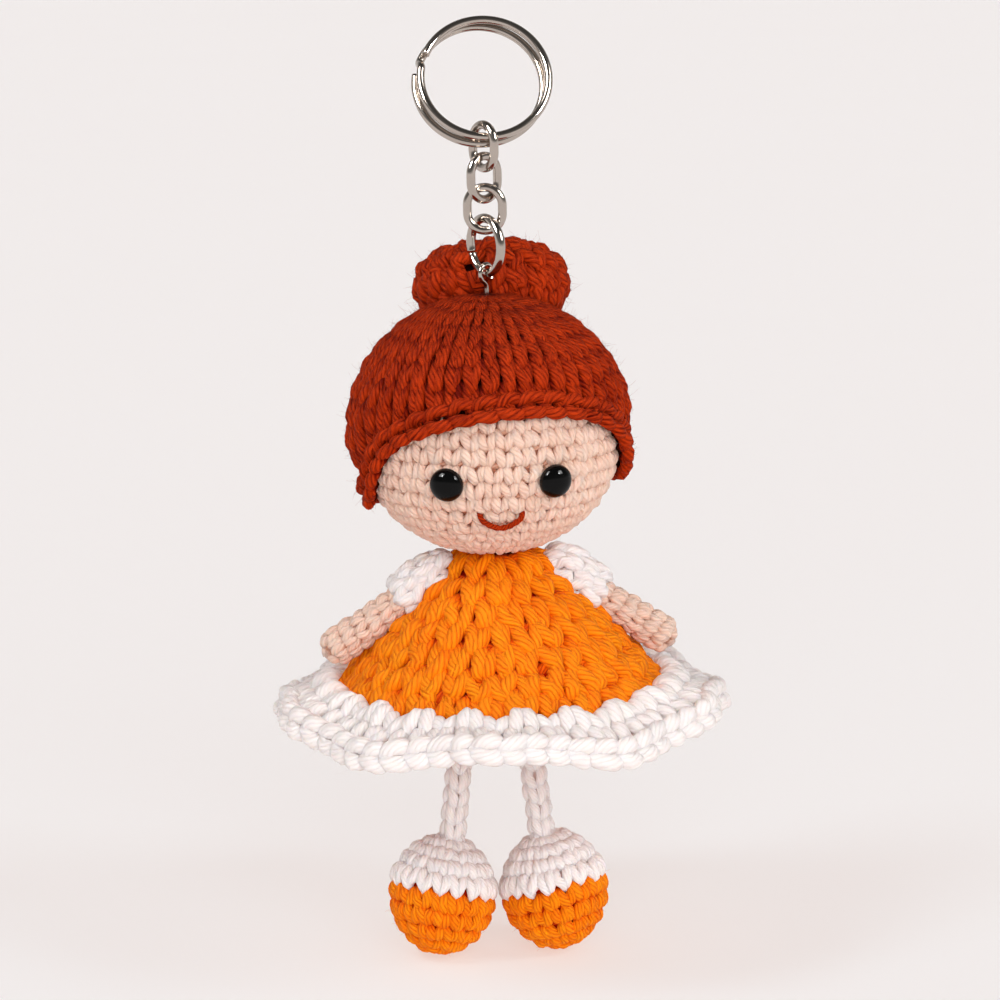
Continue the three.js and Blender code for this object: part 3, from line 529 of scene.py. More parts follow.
FACE_LEG = [(-0.4, 1.06, -1.15, 0.6), (-0.375, 0.84, -0.15, 0.95), (-0.27, 0.47, 0.12, 1.08),
            (-0.14, 0.13, -0.15, 0.94), (-0.07, -0.1, -1.2, 0.55)]
TIP_LEG = [(-0.42, 1.06, -1.15, 0.6), (-0.38, 0.8, -0.1, 0.98), (-0.26, 0.38, 0.25, 1.05),
           (-0.12, -0.08, 0.22, 0.88), (-0.02, -0.48, -0.6, 0.42)]
HEAD_SPIRAL = 2.95


def on_face(place, turn):
    return above_edge(place, turn) < 1.3


head = Yarns(1)
face_rows = rows_down(HEAD, 22.0, HEAD.length - 3.0, 3.0, 3.15, phase=0.42)
stitch(head, HEAD, face_rows, FACE_LEG, 0.88, jitter=0.065, proud=0.0, spiral=HEAD_SPIRAL, keep=on_face, **FINE)
stitch(head, HEAD, face_rows, BAR, 0.78, mirrored=False, proud=-0.15, spiral=HEAD_SPIRAL, keep=on_face, samples=7,
       sides=8, pitch=7.0)
head.fuzz(2600, 0.4, 0.018)
head_piece = head.mesh("head_crochet", SKIN, "doll", "head")


def turned_core(name, surface, inset, look, body, start=0.0, end=None, count=40, sides=64, warp=None):
    """A plain backing under the stitches, drawn in its yarn's painted shade so that it shows dark between them."""
    along = np.linspace(start, surface.length if end is None else end, count)
    a, t = np.meshgrid(along, around(sides), indexing="ij")
    rings, _ = surface.at(t, a, -inset)
    return grid_mesh(name, rings if warp is None else warp(rings), look, body)


turned_core("head_lining", HEAD, 1.45, SKIN, "doll", 0.5, HEAD.length - 3.0)

# Eyes, their washers and the mouth


def lathe(name, outline, place, direction, look, body, nodes):
    """Turns an outline about a line through a place."""
    rings = np.array([polar(around(48), r, z) for r, z in outline[::-1]])
    return grid_mesh(name, rings @ aimed(1, direction).T + place, look, body, nodes)


EYE_RADIUS, EYE_RISE, EYE_ASIDE, EYE_LEVEL = 3.0, 2.1, math.radians(23.8), -3.0
# A ribbed shank behind the fabric, then the rim and the dome
dome = [(0.02, -7), (0.77, -7), (1.1, -6.5), (0.88, -5.9), (1.1, -5.5), (0.88, -4.9), (0.88, -0.2), (2.75, -0.2),
        (2.93, -0.1), (EYE_RADIUS, 0.1), (EYE_RADIUS, 0.5)]
dome += arc(EYE_RADIUS, 0.5, 0.1, math.pi / 2 - 0.02, 16, -EYE_RISE)
for side, word in SIDES:
    spot, normal = head_spot(np.array(side * EYE_ASIDE), np.array(EYE_LEVEL), 0.3)
    lathe(f"safety_eye_{word}_dome", dome, spot, normal, BLACK, "doll", [f"safety_eye_{word}"])

MOUTH_HALF, MOUTH_LEVEL, MOUTH_SAG = math.radians(10.85), -8.9, 2.15
mouth = Yarns(5)
share = np.linspace(-1, 1, 30)
line, line_normal = head_spot(MOUTH_HALF * share, MOUTH_LEVEL - MOUTH_SAG * (1 - share**2), 0.75)
# Both ends go down into the fabric
ends = np.clip((1 - np.abs(share)) * 6, 0, 1)
line = line - (1.4 * (1 - ends) ** 2)[:, None] * line_normal
mouth.add(line[None], np.full((1, 30), 0.5), line_normal[None], sides=12, plies=2, lobe=0.12, pitch=2.6)
mouth.fuzz(60, 0.4, 0.02)
mouth.mesh("mouth_yarn", RUST, "doll", "mouth")

# Wig

RIBS, CROWN = 42, 9.0
HAIR_RADIUS, HAIR_RISE, HAIR_LIFT = 25.9, 24.85, 2.6
HAIR = Turned(egg(HAIR_RADIUS, HAIR_RISE, HAIR_RISE), shift=(0, 0, HAIR_LIFT))
hair_leg = [(-0.240, 1.48, -1.6, 0.6), (-0.252, 1.12, -0.45, 0.94), (-0.217, 0.62, -0.02, 1.04),
            (-0.130, 0.13, 0.32, 1.05), (-0.057, -0.2, 0.08, 0.93), (-0.02, -0.46, -1.38, 0.54)]
edges = [1.5, 5.2, CROWN] + list(np.arange(13.4, 64, 4.6))
# Half as many stitches on the crown, each between two of the ribs below
hair_rows = [(foot, top, RIBS // 2, TURN / (2 * RIBS)) if foot <= CROWN else (foot, top, RIBS, 0.0)
             for top, foot in zip(edges[:-1], edges[1:])]


def hair_radius(along):
    return np.minimum(0.94, 0.23 * TURN * HAIR.radius(along) / np.where(along < CROWN, RIBS / 2, RIBS) + 0.14)


HUG = 1.9


def hug(place):
    """Draws the wig in towards the head beside its edge and lifts what hangs below the edge."""
    flat = place.reshape(-1, 3)
    near = above_edge(flat, np.arctan2(flat[:, 0], CHAIN_Y - flat[:, 1]))
    flat = flat + np.clip(0.9 - near, 0, 3)[:, None] * [0, 0, 1]
    out = unit((flat - DOLL) / [HEAD_RADIUS**2, HEAD_RADIUS**2, HEAD_RISE**2])
    return (flat - (HUG - HUG * ease(near, 0.5, 8.5))[:, None] * out).reshape(place.shape)


hair = Yarns(2)
stitch(hair, HAIR, hair_rows, hair_leg, hair_radius, jitter=0.05, keep=lambda p, t: above_edge(p, t) > 1.0,
       samples=14, proud=-0.1, warp=hug, **RUSTY)
hair.fuzz(19000, 0.85, 0.017)
hair.mesh("hair_crochet", RUST, "doll", "hair_cap")

EDGE_REACH = np.interp(-(EDGE_LEVEL + 0.6), -(HAIR.z + HAIR_LIFT), HAIR.d)
outer, inner = ([hug(HAIR.at(EDGE_TURN, EDGE_REACH * k, -under)[0]) for k in shares]
                for under, shares in ((1.5, np.linspace(0.02, 1, 26)), (2.3, np.linspace(1, 0.02, 26))))
grid_mesh("hair_lining", outer + inner, RUST, "doll")

RIM_LINKS, RIM_OUT = 37, 1.5
rim_ways = np.append(EDGE_TURN, EDGE_TURN[0] + TURN), np.append(EDGE_LEVEL, EDGE_LEVEL[0])
rim_steps = np.diff(head_spot(*rim_ways, RIM_OUT)[0], axis=0)
rim_long = np.concatenate([[0], np.cumsum(np.linalg.norm(rim_steps, axis=1))])


def rim_spot(far, out):
    return head_spot(*(np.interp(far % rim_long[-1], rim_long, way) for way in rim_ways), out)


def rim_frame(s):
    far = s / RIM_LINKS * rim_long[-1]
    place, normal = rim_spot(far, 1.15)
    along = unit(rim_spot(far + 0.6, RIM_OUT)[0] - place)
    up = unit(np.cross(normal, along))
    return place, unit(normal + 0.12 * up), unit(up - 0.12 * normal)


rim = Yarns(3)
plait(rim, rim_frame, 1.45, 1.05, RIM_LINKS, SLIM, 0.05, sides=14)
rim.fuzz(2200, 0.7, 0.016)
rim.mesh("hair_rim_cord", RUST, "doll", "hair_rim")

# Bun

BUN_WIDE, BUN_DEEP, BUN_HIGH, BUN_POWER = 14.3, 11.2, 8.4, 0.85


def bun_outline(shrink):
    points = []
    for a in np.linspace(math.pi / 2, -math.pi / 2, 120):
        across = max(math.cos(a), 0) ** BUN_POWER
        up = math.copysign(abs(math.sin(a)) ** BUN_POWER, math.sin(a))
        points.append((across * (BUN_WIDE - shrink), up * (BUN_HIGH - shrink)))
    return points


BUN_TURN = rotation("X", -18) @ np.diag([1, BUN_DEEP / BUN_WIDE, 1])
BUN_PLACE = (1.9, 12, 27.3)
BUN = Turned(bun_outline(0), BUN_TURN, BUN_PLACE)
JUMP_CENTRE = np.array([0, CHAIN_Y, -37.8918])
JUMP_YAW, JUMP_R, JUMP_WIRE = -62, 4.9, 0.85
JUMP_AXIS = np.array([-math.sin(math.radians(JUMP_YAW)), math.cos(math.radians(JUMP_YAW)), 0])


def notch(place):
    """Parts the bun where the jump ring swings."""
    q = place - JUMP_CENTRE
    aside = q @ JUMP_AXIS
    radial = np.linalg.norm(q - aside[..., None] * JUMP_AXIS, axis=-1)
    above = np.maximum(q[..., 2] + JUMP_R + JUMP_WIRE, 0)
    half = (1.7 + 0.2 * above) * ease(9.0 - radial, 0, 3.0)
    wide = 2.6 * half + 1e-6
    parted = np.sign(aside + 1e-9) * (half + np.abs(aside) * (wide - half) / wide)
    moved = np.where(np.abs(aside) < wide, parted, aside)
    return place + (moved - aside)[..., None] * JUMP_AXIS


def outside_wig(place, turn):
    reach = (place - DOLL - [0, 0, HAIR_LIFT]) / [HAIR_RADIUS, HAIR_RADIUS, HAIR_RISE]
    return np.linalg.norm(reach, axis=-1) > 0.97


bun_leg = [(-0.36, 1.3, -1.6, 0.55), (-0.38, 1.02, -0.5, 0.92), (-0.28, 0.6, 0.3, 1.1),
           (-0.13, 0.15, 0.45, 1.1), (-0.04, -0.16, 0.0, 0.92), (0.0, -0.4, -1.5, 0.5)]
bun = Yarns(4)
bun_rows = rows_down(BUN, 2.5, BUN.length - 3.0, 4.3, 4.5, phase=0.12)
stitch(bun, BUN, bun_rows, bun_leg, 1.15, jitter=0.1, samples=12, warp=notch, proud=-0.5, keep=outside_wig, **RUSTY)
bun.fuzz(6500, 0.85, 0.017)
bun_piece = bun.mesh("bun_crochet", RUST, "doll", "hair_bun")
turned_core("bun_lining", BUN, 1.7, RUST, "doll", 0.5, BUN.length - 0.5, 40, 72, notch)

# Dress

BODY_SHIFT = 1.0
DRESS_NECK, NECK_LEVEL, DRESS_HEM, HEM_LEVEL = 6.4, -18.5, 29.3, -44.1
DRESS = Turned([(DRESS_NECK + (DRESS_HEM - DRESS_NECK) * s + 0.8 * math.sin(math.pi * s),
                 NECK_LEVEL + (HEM_LEVEL - NECK_LEVEL) * s) for s in np.linspace(0, 1, 60)], shift=(BODY_SHIFT, 0, 0))
dress_leg = [(-0.36, 1.34, -1.6, 0.55), (-0.38, 1.06, -0.6, 0.92), (-0.28, 0.62, 0.25, 1.1),
             (-0.14, 0.18, 0.5, 1.12), (-0.05, -0.14, 0.0, 0.92), (-0.02, -0.4, -1.5, 0.5)]
dress_loop = [(-0.46, 0.7, -1.3, 0.58), (-0.25, 0.94, -0.75, 0.84), (0.06, 1.05, -0.5, 0.9),
              (0.34, 0.96, -0.75, 0.82), (0.52, 0.74, -1.35, 0.56)]
dress_back = [(-0.52, 1.02, 0.1, 0.6), (-0.28, 0.84, 0.45, 1.0), (0.0, 0.56, 0.5, 1.04),
              (0.26, 0.28, 0.45, 1.0), (0.48, 0.04, 0.1, 0.6)]
# From the hem up: the stitches in each row and the turn of its first one
DRESS_ROW, dress_counts = 4.82, ((42, 0.0), (36, 0.02), (32, 0.06), (24, 0.06), (21, 0.05), (16, 0.1), (14, 0.1))
dress_rows = [(DRESS.length - DRESS_ROW * i, DRESS.length - DRESS_ROW * (i + 1), count, first)
              for i, (count, first) in enumerate(dress_counts)]


def dress_radius(along):
    return 1.06 + 0.16 * ease(along, 2.0, 12.0)


dress = Yarns(6)
stitch(dress, DRESS, dress_rows, dress_leg, dress_radius, jitter=0.1, samples=14, proud=0.0, sides=16, **BOLD)
stitch(dress, DRESS, dress_rows, dress_loop, dress_radius, mirrored=False, jitter=0.08, samples=12, proud=-0.05,
       sides=16, **BOLD)
dress.fuzz(3600, 0.6, 0.018)
stitch(dress, DRESS, dress_rows[:5], dress_back, dress_radius, jitter=0.08, proud=-2.1, sides=14, **BOLD)
dress.mesh("dress_crochet", ORANGE, "doll", "dress")
turn = around(96)
outer, inner = ([DRESS.at(turn, k, -under)[0] for k in ways]
                for under, ways in ((1.75, np.linspace(0.3, 33.8, 30)), (2.6, np.linspace(33.8, 0.3, 30))))
grid_mesh("dress_lining", outer + inner, ORANGE, "doll")

# Ruffle

RUFFLE_TURN, SCALLOPS, WAVES = math.radians(-6.5), 11, 5
RUFFLE_INNER, RUFFLE_OUTER = 26.4, 40.6


def ruffle_at(turn, across, height):
    """A place on the ruffle: share of the way out, and height over its middle."""
    phase = turn - RUFFLE_TURN
    reach = RUFFLE_OUTER + 1.1 * np.cos(SCALLOPS * phase)
    r = RUFFLE_INNER + across * (reach - RUFFLE_INNER)
    wave = 1.6 * np.cos(WAVES * phase) * np.clip(across, 0, 2) ** 1.5
    z = HEM_LEVEL - 0.3 - 1.45 - 2.2 * across**2 + wave + height
    return polar(turn, r, z) + [BODY_SHIFT, 0, 0] + DOLL


ruffle = Yarns(7)
# Each row of a petal: share of the way out, height in millimetres and girth in yarn radii
inner_petal = [(0.13, -0.6, 0.7), (0.22, 1.8, 0.95), (0.33, 3.4, 1.1), (0.48, 2.4, 1.08), (0.58, -0.3, 0.75)]
outer_petal = [(0.42, -0.6, 0.7), (0.52, 0.9, 0.98), (0.66, 1.5, 1.08), (0.8, 0.8, 1.02), (0.88, -0.6, 0.75)]
under_petal = [(0.14, 0.2, 0.7), (0.34, -0.6, 1.0), (0.55, -0.8, 1.08), (0.74, -0.5, 1.0), (0.88, 0.2, 0.75)]
weights = smooth_weights(5, 13)
for layer, petal, petals, relief, gather in ((1, inner_petal, 8, 0.7, 0.7), (1, outer_petal, 7, 0.35, 0.2),
                                             (-1, under_petal, 8, 0.0, 0.3)):
    posts = SCALLOPS * petals
    control = np.tile(np.array(petal), (posts, 1, 1))
    control[..., :2] += ruffle.rng.normal(0, 1, (posts, 5, 2)) * [0.015, 0.15]
    p = np.einsum("sc,kcd->ksd", weights, control)
    k = np.arange(posts)[:, None] + ruffle.rng.normal(0, 0.06, (posts, 1))
    hump = (k + 0.5) / posts * 2 * SCALLOPS % 1 - 0.5
    turn = RUFFLE_TURN + (k + 0.5) * TURN / posts - TURN / (2 * SCALLOPS)
    turn = turn + hump * TURN / (2 * SCALLOPS) * gather * (p[..., 0] - 0.4) / 0.3
    high = np.where(p[..., 1] > 0, p[..., 1] * (1 - relief * (2 * np.abs(hump)) ** 2), p[..., 1])
    path = ruffle_at(turn, p[..., 0], high)
    # The depth paints shade on the petals where they dip in
    ruffle.add(path, p[..., 2] * 1.25, np.zeros_like(path) + [0, 0, layer], **RUFFLE_PLY,
               depth=ease(layer * p[..., 1], -0.4, 1.2))

EDGE_LINKS = 60


def edge_place(s):
    return ruffle_at(s / EDGE_LINKS * TURN, 0.9, 0.1)


def edge_frame(s):
    t = s / EDGE_LINKS * TURN
    out = unit(polar(t, 1, 0.3))
    along = unit(edge_place(s + 0.05) - edge_place(s - 0.05))
    return edge_place(s), out, unit(np.cross(out, along))


plait(ruffle, edge_frame, 1.35, 1.42, EDGE_LINKS, PLUMP, 0.08, **RUFFLE_PLY)
ruffle.fuzz(3600, 0.55, 0.018)
ruffle.mesh("ruffle_crochet", WHITE, "doll", "dress_ruffle")
turn = around(14 * SCALLOPS)
rings = [ruffle_at(turn, 0.44 + 0.4 * math.cos(a), 0.6 * math.sin(a)) for a in around(12)]
grid_mesh("ruffle_lining", rings[::-1], WHITE, "doll", looped=True)

# Torso under the dress


TORSO_NECK, TORSO_HIP, TORSO_TOP, TORSO_LONG = 4.9, 9.2, -21.0, 18.0
outline = [(TORSO_NECK, TORSO_TOP)]
for s in np.linspace(0, 1, 24):
    taper = (1 + math.cos(math.pi * (1 - s))) / 2
    outline.append((TORSO_NECK + (TORSO_HIP - TORSO_NECK) * taper, TORSO_TOP - TORSO_LONG * s - 1e-3))
outline += arc(TORSO_HIP, TORSO_TOP - TORSO_LONG, 0.08, math.pi / 2, 20, 8)
TORSO = Turned(outline, shift=(BODY_SHIFT, 0, 0))
torso = Yarns(8)
stitch(torso, TORSO, rows_down(TORSO, 1.0, TORSO.length - 2.5, 3.1, 3.4), LEG, 0.9, proud=0.0, sides=8)
torso_piece = torso.mesh("torso_crochet", SKIN, "doll", "torso")
turned_core("torso_lining", TORSO, 1.9, SKIN, "doll", 0.3, TORSO.length - 0.3)

# Arms and sleeves

ARM_DROP, ARM_LONG, ARM_THIN, HAND_RADIUS, SLEEVE_RADIUS = math.radians(34), 21.6, 2.6, 3.5, 4.3
SHOULDER_OUT, SHOULDER_LEVEL, ARM_ROW = 11.2, -23.9, 2.7
for side, word in SIDES:
    body = f"{word}_arm"
    matrix = aimed(-1, (side * math.cos(ARM_DROP), 0, -math.sin(ARM_DROP)))
    joint = np.array([BODY_SHIFT + side * SHOULDER_OUT, 0, SHOULDER_LEVEL])
    outline = [(ARM_THIN + (HAND_RADIUS - ARM_THIN) * s**0.8, -ARM_LONG * s) for s in np.linspace(0.05, 1, 30)]
    outline += arc(HAND_RADIUS, -ARM_LONG, 0.08, math.pi / 2, 16)
    ARM = Turned(outline, matrix, joint)
    arm = Yarns(20 + side)
    arm_rows = rows_down(ARM, 0.5, ARM.length - 0.9, ARM_ROW, 2.8)
    stitch(arm, ARM, arm_rows, FACE_LEG, 0.78, proud=0.1, jitter=0.06, spiral=ARM_ROW, **FINE)
    stitch(arm, ARM, arm_rows, BAR, 0.74, mirrored=False, proud=0.0, spiral=ARM_ROW, samples=7, sides=8)
    arm.fuzz(500, 0.4, 0.018)
    arm_piece = arm.mesh(f"arm_{word}_crochet", SKIN, body, f"arm_{word}")
    turned_core(f"arm_{word}_lining", ARM, 1.2, SKIN, body, sides=24)

    outline = arc(SLEEVE_RADIUS, 0, -math.pi / 2, 0, 16)
    outline += [(SLEEVE_RADIUS * 1.03, -2.4), (SLEEVE_RADIUS, -5.2), (3.95, -7.0), (3.4, -8.0)]
    SLEEVE = Turned(outline, matrix, joint)
    sleeve = Yarns(30 + side)
    sleeve_rows = rows_down(SLEEVE, 1.5, SLEEVE.length, 3.3, 3.3)
    for shape, proud, mirrored in ((dress_leg, 0.5, True), (dress_loop, 0.6, False)):
        stitch(sleeve, SLEEVE, sleeve_rows, shape, 1.0, proud, mirrored, 0.12, lobe=0.07, plies=4, pitch=9.0, sides=14)
    sleeve.fuzz(500, 0.4, 0.018)
    sleeve.mesh(f"sleeve_{word}_crochet", WHITE, body, f"sleeve_{word}")
    turned_core(f"sleeve_{word}_lining", SLEEVE, 1.5, WHITE, body, start=1.0, sides=24)

# Legs and feet

LEG_SHIFT, HIP_OUT, HIP_LEVEL, ANKLE_OUT, ANKLE_LEVEL, CORD_RADIUS = -0.3, 5.4, -47.2, 8.3, -73.6, 2.15
FOOT_OUT, FOOT_LEVEL, FOOT_RADIUS, FOOT_DROP = 10.4, -84.1, 9.85, 11.15
FOOT_STRETCH = FOOT_DROP / FOOT_RADIUS
cord_leg = [(-0.3, 1.3, -1.3, 0.6), (-0.36, 0.96, -0.3, 0.95), (-0.3, 0.5, 0.05, 1.02),
            (-0.17, 0.05, -0.15, 0.95), (-0.09, -0.28, -1.4, 0.55)]
for side, word in SIDES:
    hip, ankle = (np.array([LEG_SHIFT + side * out, 0, z])
                  for out, z in ((HIP_OUT, HIP_LEVEL), (ANKLE_OUT, ANKLE_LEVEL)))
    span = float(np.linalg.norm(ankle - hip))
    outline = arc(2.3, 0, -math.pi / 2, -0.1, 10)
    outline += [(CORD_RADIUS, -s) for s in np.linspace(1.2, span, 20)]
    outline += arc(CORD_RADIUS, -span, 0.1, math.pi / 2, 8)
    LEG_CORD = Turned(outline, aimed(-1, ankle - hip), hip)
    leg = Yarns(40 + side)
    edges = np.linspace(1.0, LEG_CORD.length - 0.6, 11)
    rows = [(foot, top, 3, 0.0) for top, foot in zip(edges[:-1], edges[1:])]
    stitch(leg, LEG_CORD, rows, cord_leg, 0.9, proud=0.32, jitter=0.04, **FOUR_PLY)
    leg.fuzz(240, 0.4, 0.018)
    leg.mesh(f"leg_{word}_cord", WHITE, f"{word}_leg", f"leg_{word}")
    turned_core(f"leg_{word}_core", LEG_CORD, 1.1, WHITE, f"{word}_leg", sides=16)

    # The ball is tilted first and drawn out upwards after, so the border's slants are set for that
    tilt, pitch = (math.degrees(math.atan(math.tan(math.radians(slant)) / FOOT_STRETCH)) for slant in (12.5, 10))
    matrix = np.diag([1, 1, FOOT_STRETCH]) @ rotation("Y", -side * tilt) @ rotation("X", -pitch)
    FOOT = Turned(egg(FOOT_RADIUS, FOOT_RADIUS, FOOT_RADIUS), matrix, (LEG_SHIFT + side * FOOT_OUT, 0, FOOT_LEVEL))
    middle = FOOT.length / 2 - 0.3
    body = f"{word}_foot"
    # The sock's rows go up from the border and the shoe's down
    border, row = middle - 1.3, 2.72
    upper = [(border - row * i, border - row * (i + 1), n, 0.1 * i) for i, n in enumerate((18, 18, 15, 11, 7))]
    border, row = middle - 0.6, 3.1
    lower = [(border + row * (i + 1), border + row * i, n, 0.12 * i) for i, n in enumerate((18, 18, 15, 11, 6))]
    for name, legs, bars, look, seed in (("sock", upper[1:], upper, WHITE, 50), ("shoe", lower, lower[1:], ORANGE, 60)):
        yarns = Yarns(seed + side)
        if name == "sock":
            stitch(yarns, FOOT, upper[:1], TIP_LEG, 0.98, proud=0.25, jitter=0.05, **FOUR_PLY)
        stitch(yarns, FOOT, legs, FACE_LEG, 0.98, proud=0.05, jitter=0.06, **FOUR_PLY)
        stitch(yarns, FOOT, bars, BAR, 0.8, proud=-0.1, mirrored=False, samples=7, sides=8)
        yarns.fuzz(600, 0.5, 0.018)
        piece = yarns.mesh(f"{name}_{word}_crochet", look, body, f"{name}_{word}")
    turned_core(f"sock_{word}_lining", FOOT, 1.35, WHITE, body, 0.4, middle - 2.0, 20, 40)
    turned_core(f"shoe_{word}_lining", FOOT, 1.35, ORANGE, body, middle - 1.9, FOOT.length - 0.4, 20, 40)

# Filling inside the head, bun, torso and feet


def filling(name, surface, inset, body, nodes, seed):
    """A lumpy ball of fibre inside a cover."""
    rng = np.random.default_rng(seed)
    a, t = np.meshgrid(np.linspace(0.3, surface.length - 0.3, 30), around(40), indexing="ij")
    lumps = sum(0.12 * np.sin(k * t + rng.uniform(0, 6)) * np.sin(k * a / surface.length * 3 + rng.uniform(0, 6))
                for k in range(2, 7))
    rings, _ = surface.at(t, a, -inset - 0.3 * np.abs(lumps))
    piece = grid_mesh(name, rings, FILLING, body, nodes)


filling("head_fibre_filling", HEAD, 2.6, "doll", ["head_stuffing"], 70)
filling("torso_fibre_filling", TORSO, 2.4, "doll", ["torso_stuffing"], 72)
BUN_INNER = Turned(bun_outline(3.2), BUN_TURN, BUN_PLACE)
filling("bun_fibre_filling", BUN_INNER, 0.3, "doll", ["bun_stuffing"], 71)
for side, word in SIDES:
    # Lower at the top than the cover, for the leg's end that turns there
    FOOT = Turned(egg(FOOT_RADIUS, 8.4, FOOT_DROP), shift=(LEG_SHIFT + side * FOOT_OUT, 0, FOOT_LEVEL))
    filling(f"foot_{word}_fibre_filling", FOOT, 2.6, f"{word}_foot", [f"foot_stuffing_{word}"], 73 + side)

# Metal fittings


def wire(name, points, radius, body, nodes, closed=False, sides=24, bevel=0.12):
    """Round nickel wire along points, with its ends bevelled unless it is closed."""
    points = np.asarray(points, float)
    tangent = unit(np.roll(points, -1, 0) - np.roll(points, 1, 0) if closed else np.gradient(points, axis=0))
    up = np.zeros_like(points)
    guess = np.array([0.3, 0.2, 1.0])
    for i, t in enumerate(tangent):
        guess = unit(guess - (guess @ t) * t)
        up[i] = guess
    if closed:
        # Share out the twist that parallel transport leaves at the seam
        end = unit(guess - (guess @ tangent[0]) * tangent[0])
        side0 = np.cross(tangent[0], up[0])
        twist = math.atan2(end @ side0, end @ up[0])
        turn = -twist * np.arange(len(points)) / len(points)
        up = np.cos(turn)[:, None] * up + np.sin(turn)[:, None] * np.cross(tangent, up)
    side = np.cross(tangent, up)
    a = around(sides)
    size = np.full(len(points), radius)
    if not closed:
        points = np.concatenate([points[:1] - 1e-4 * tangent[:1], points, points[-1:] + 1e-4 * tangent[-1:]])
        size = np.concatenate([[radius - bevel], size, [radius - bevel]])
        side, up = (np.concatenate([v[:1], v, v[-1:]]) for v in (side, up))
    rings = points[:, None] + size[:, None, None] * (
        np.cos(a)[None, :, None] * side[:, None] + np.sin(a)[None, :, None] * up[:, None])
    return grid_mesh(name, rings, NICKEL, body, nodes, looped=closed)


def upright(points, yaw, level):
    """Turns points of the plane y = 0 about the vertical and hangs them on the chain's line."""
    return points @ rotation("Z", yaw).T + [0, CHAIN_Y, level]


RING_WIRE, RING_R, RING_LEAN, RING_HANG = 1.5, 11.45, 29, 10.7
lean = math.radians(RING_LEAN)
ring_centre = -RING_HANG * np.array([0, math.sin(lean), math.cos(lean)])
# Two turns less a gap, with a step sideways where the wire crosses over its own start
jog = math.radians(14)
travelled = np.linspace(0, 2 * TURN - jog, 300)
angle = math.radians(155) + jog + travelled
front = ease(travelled, TURN - jog, TURN)
ring_points = np.stack([np.cos(angle) * RING_R + 0.9 * front, np.sin(angle) * RING_R + 0.55 * front,
                        (front - 0.5) * (RING_WIRE + 0.15)], -1) @ rotation("X", 90 - RING_LEAN).T + ring_centre
wire("split_ring_wire", ring_points, RING_WIRE / 2, "ring", ["split_ring"])

LINK_TOP, LINK_LONG, LINK_SPACING, LINK_R, LINK_WIRE = -16.3918, 7.7, 5.55, 3.15, 0.8
a = around(96) + 0.01
link = np.stack([np.cos(a) * LINK_R, 0 * a, np.sin(a) * LINK_R + np.sign(np.sin(a)) * (LINK_LONG / 2 - LINK_R)], -1)
for i, yaw in enumerate((-58, 37, -13)):
    points = upright(link, yaw, LINK_TOP - i * LINK_SPACING - LINK_LONG / 2)
    wire(f"chain_link_{i + 1}_wire", points, LINK_WIRE, f"link_{i + 1}", [f"chain_link_{i + 1}"], closed=True)

slit = 0.35 / JUMP_R
a = math.radians(200) + slit / 2 + np.linspace(0, TURN - slit, 120)
jump = np.stack([np.cos(a) * JUMP_R, 0 * a, np.sin(a) * JUMP_R], -1)
wire("jump_ring_wire", upright(jump, JUMP_YAW, JUMP_CENTRE[2]), JUMP_WIRE, "jump", ["jump_ring"], bevel=0.1)

# The eye pin: its loop, its straight shank and the turned end in the head's filling
PIN_R, PIN_DEPTH, PIN_LEVEL, HOOK_R = 1.65, 16, -42.8918, 2.6
control = [(math.cos(t) * PIN_R, 0, math.sin(t) * PIN_R) for t in np.radians(np.linspace(-45, 248, 15))]
control += [(0, 0, z) for z in np.linspace(-PIN_R - 0.8, -PIN_DEPTH, 5)]
control += [(HOOK_R * (1 + math.cos(t)), 0, HOOK_R * math.sin(t) - PIN_DEPTH)
            for t in np.radians(180 + np.linspace(40, 200, 5))]
pin = smooth_weights(len(control), 200) @ np.array(control)
wire("eye_pin_wire", upright(pin, 45, PIN_LEVEL), 0.4, "doll", ["eye_pin"], sides=16, bevel=0.05)

for name in ("eye_washer_left", "eye_washer_right"):
    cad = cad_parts[name]
    cad.data.materials.clear()
    cad.data.materials.append(NYLON)

# Floor, light and camera


def paper_material(name, color, glow):
    """Dull paper that glows a little, so that the floor stays pale away from the lamps; a dim, cool colour under a warm
    glow turns its shadows warm, a painted bounce of light off the orange yarn.
    """
    material, tree, shader = nodes_of(name)
    clouded(tree, shader, color, 0.99, 3.0, 3.0)
    put(tree, shader, {"Roughness": 0.9, "Specular IOR Level": 0.0, "Emission Color": (*glow, 1),
                       "Emission Strength": 1.0})
    return material


floor_data = bpy.data.meshes.new("floor")
corners = [(x * 12, y * 12, FLOOR * MM) for x, y in ((-1, -1), (1, -1), (1, 1), (-1, 1))]
floor_data.from_pydata(corners, [], [(0, 1, 2, 3)])
floor = new_object("floor", floor_data)
floor_data.materials.append(paper_material("floor_paper", (0.27, 0.39, 0.44), (0.66, 0.52, 0.47)))

world = bpy.data.worlds.new("studio")
bpy.context.scene.world = world
world.use_nodes = True
tree = world.node_tree
DIRECTION = node(tree, "ShaderNodeTexCoord").outputs["Generated"]
split = node(tree, "ShaderNodeSeparateXYZ", Vector=DIRECTION)


def along(vector):
    """How far the looked-at direction points along a vector."""
    made = node(tree, "ShaderNodeVectorMath", operation="DOT_PRODUCT")
    put(tree, made, {0: DIRECTION, 1: vector})
    return made.outputs["Value"]


def towards(azimuth, elevation):
    """Direction from degrees, with the azimuth from the front towards the picture's right."""
    a, e = math.radians(azimuth), math.radians(elevation)
    return np.array([math.sin(a) * math.cos(e), -math.cos(a) * math.cos(e), math.sin(e)])


BOX_EDGE = 14.0


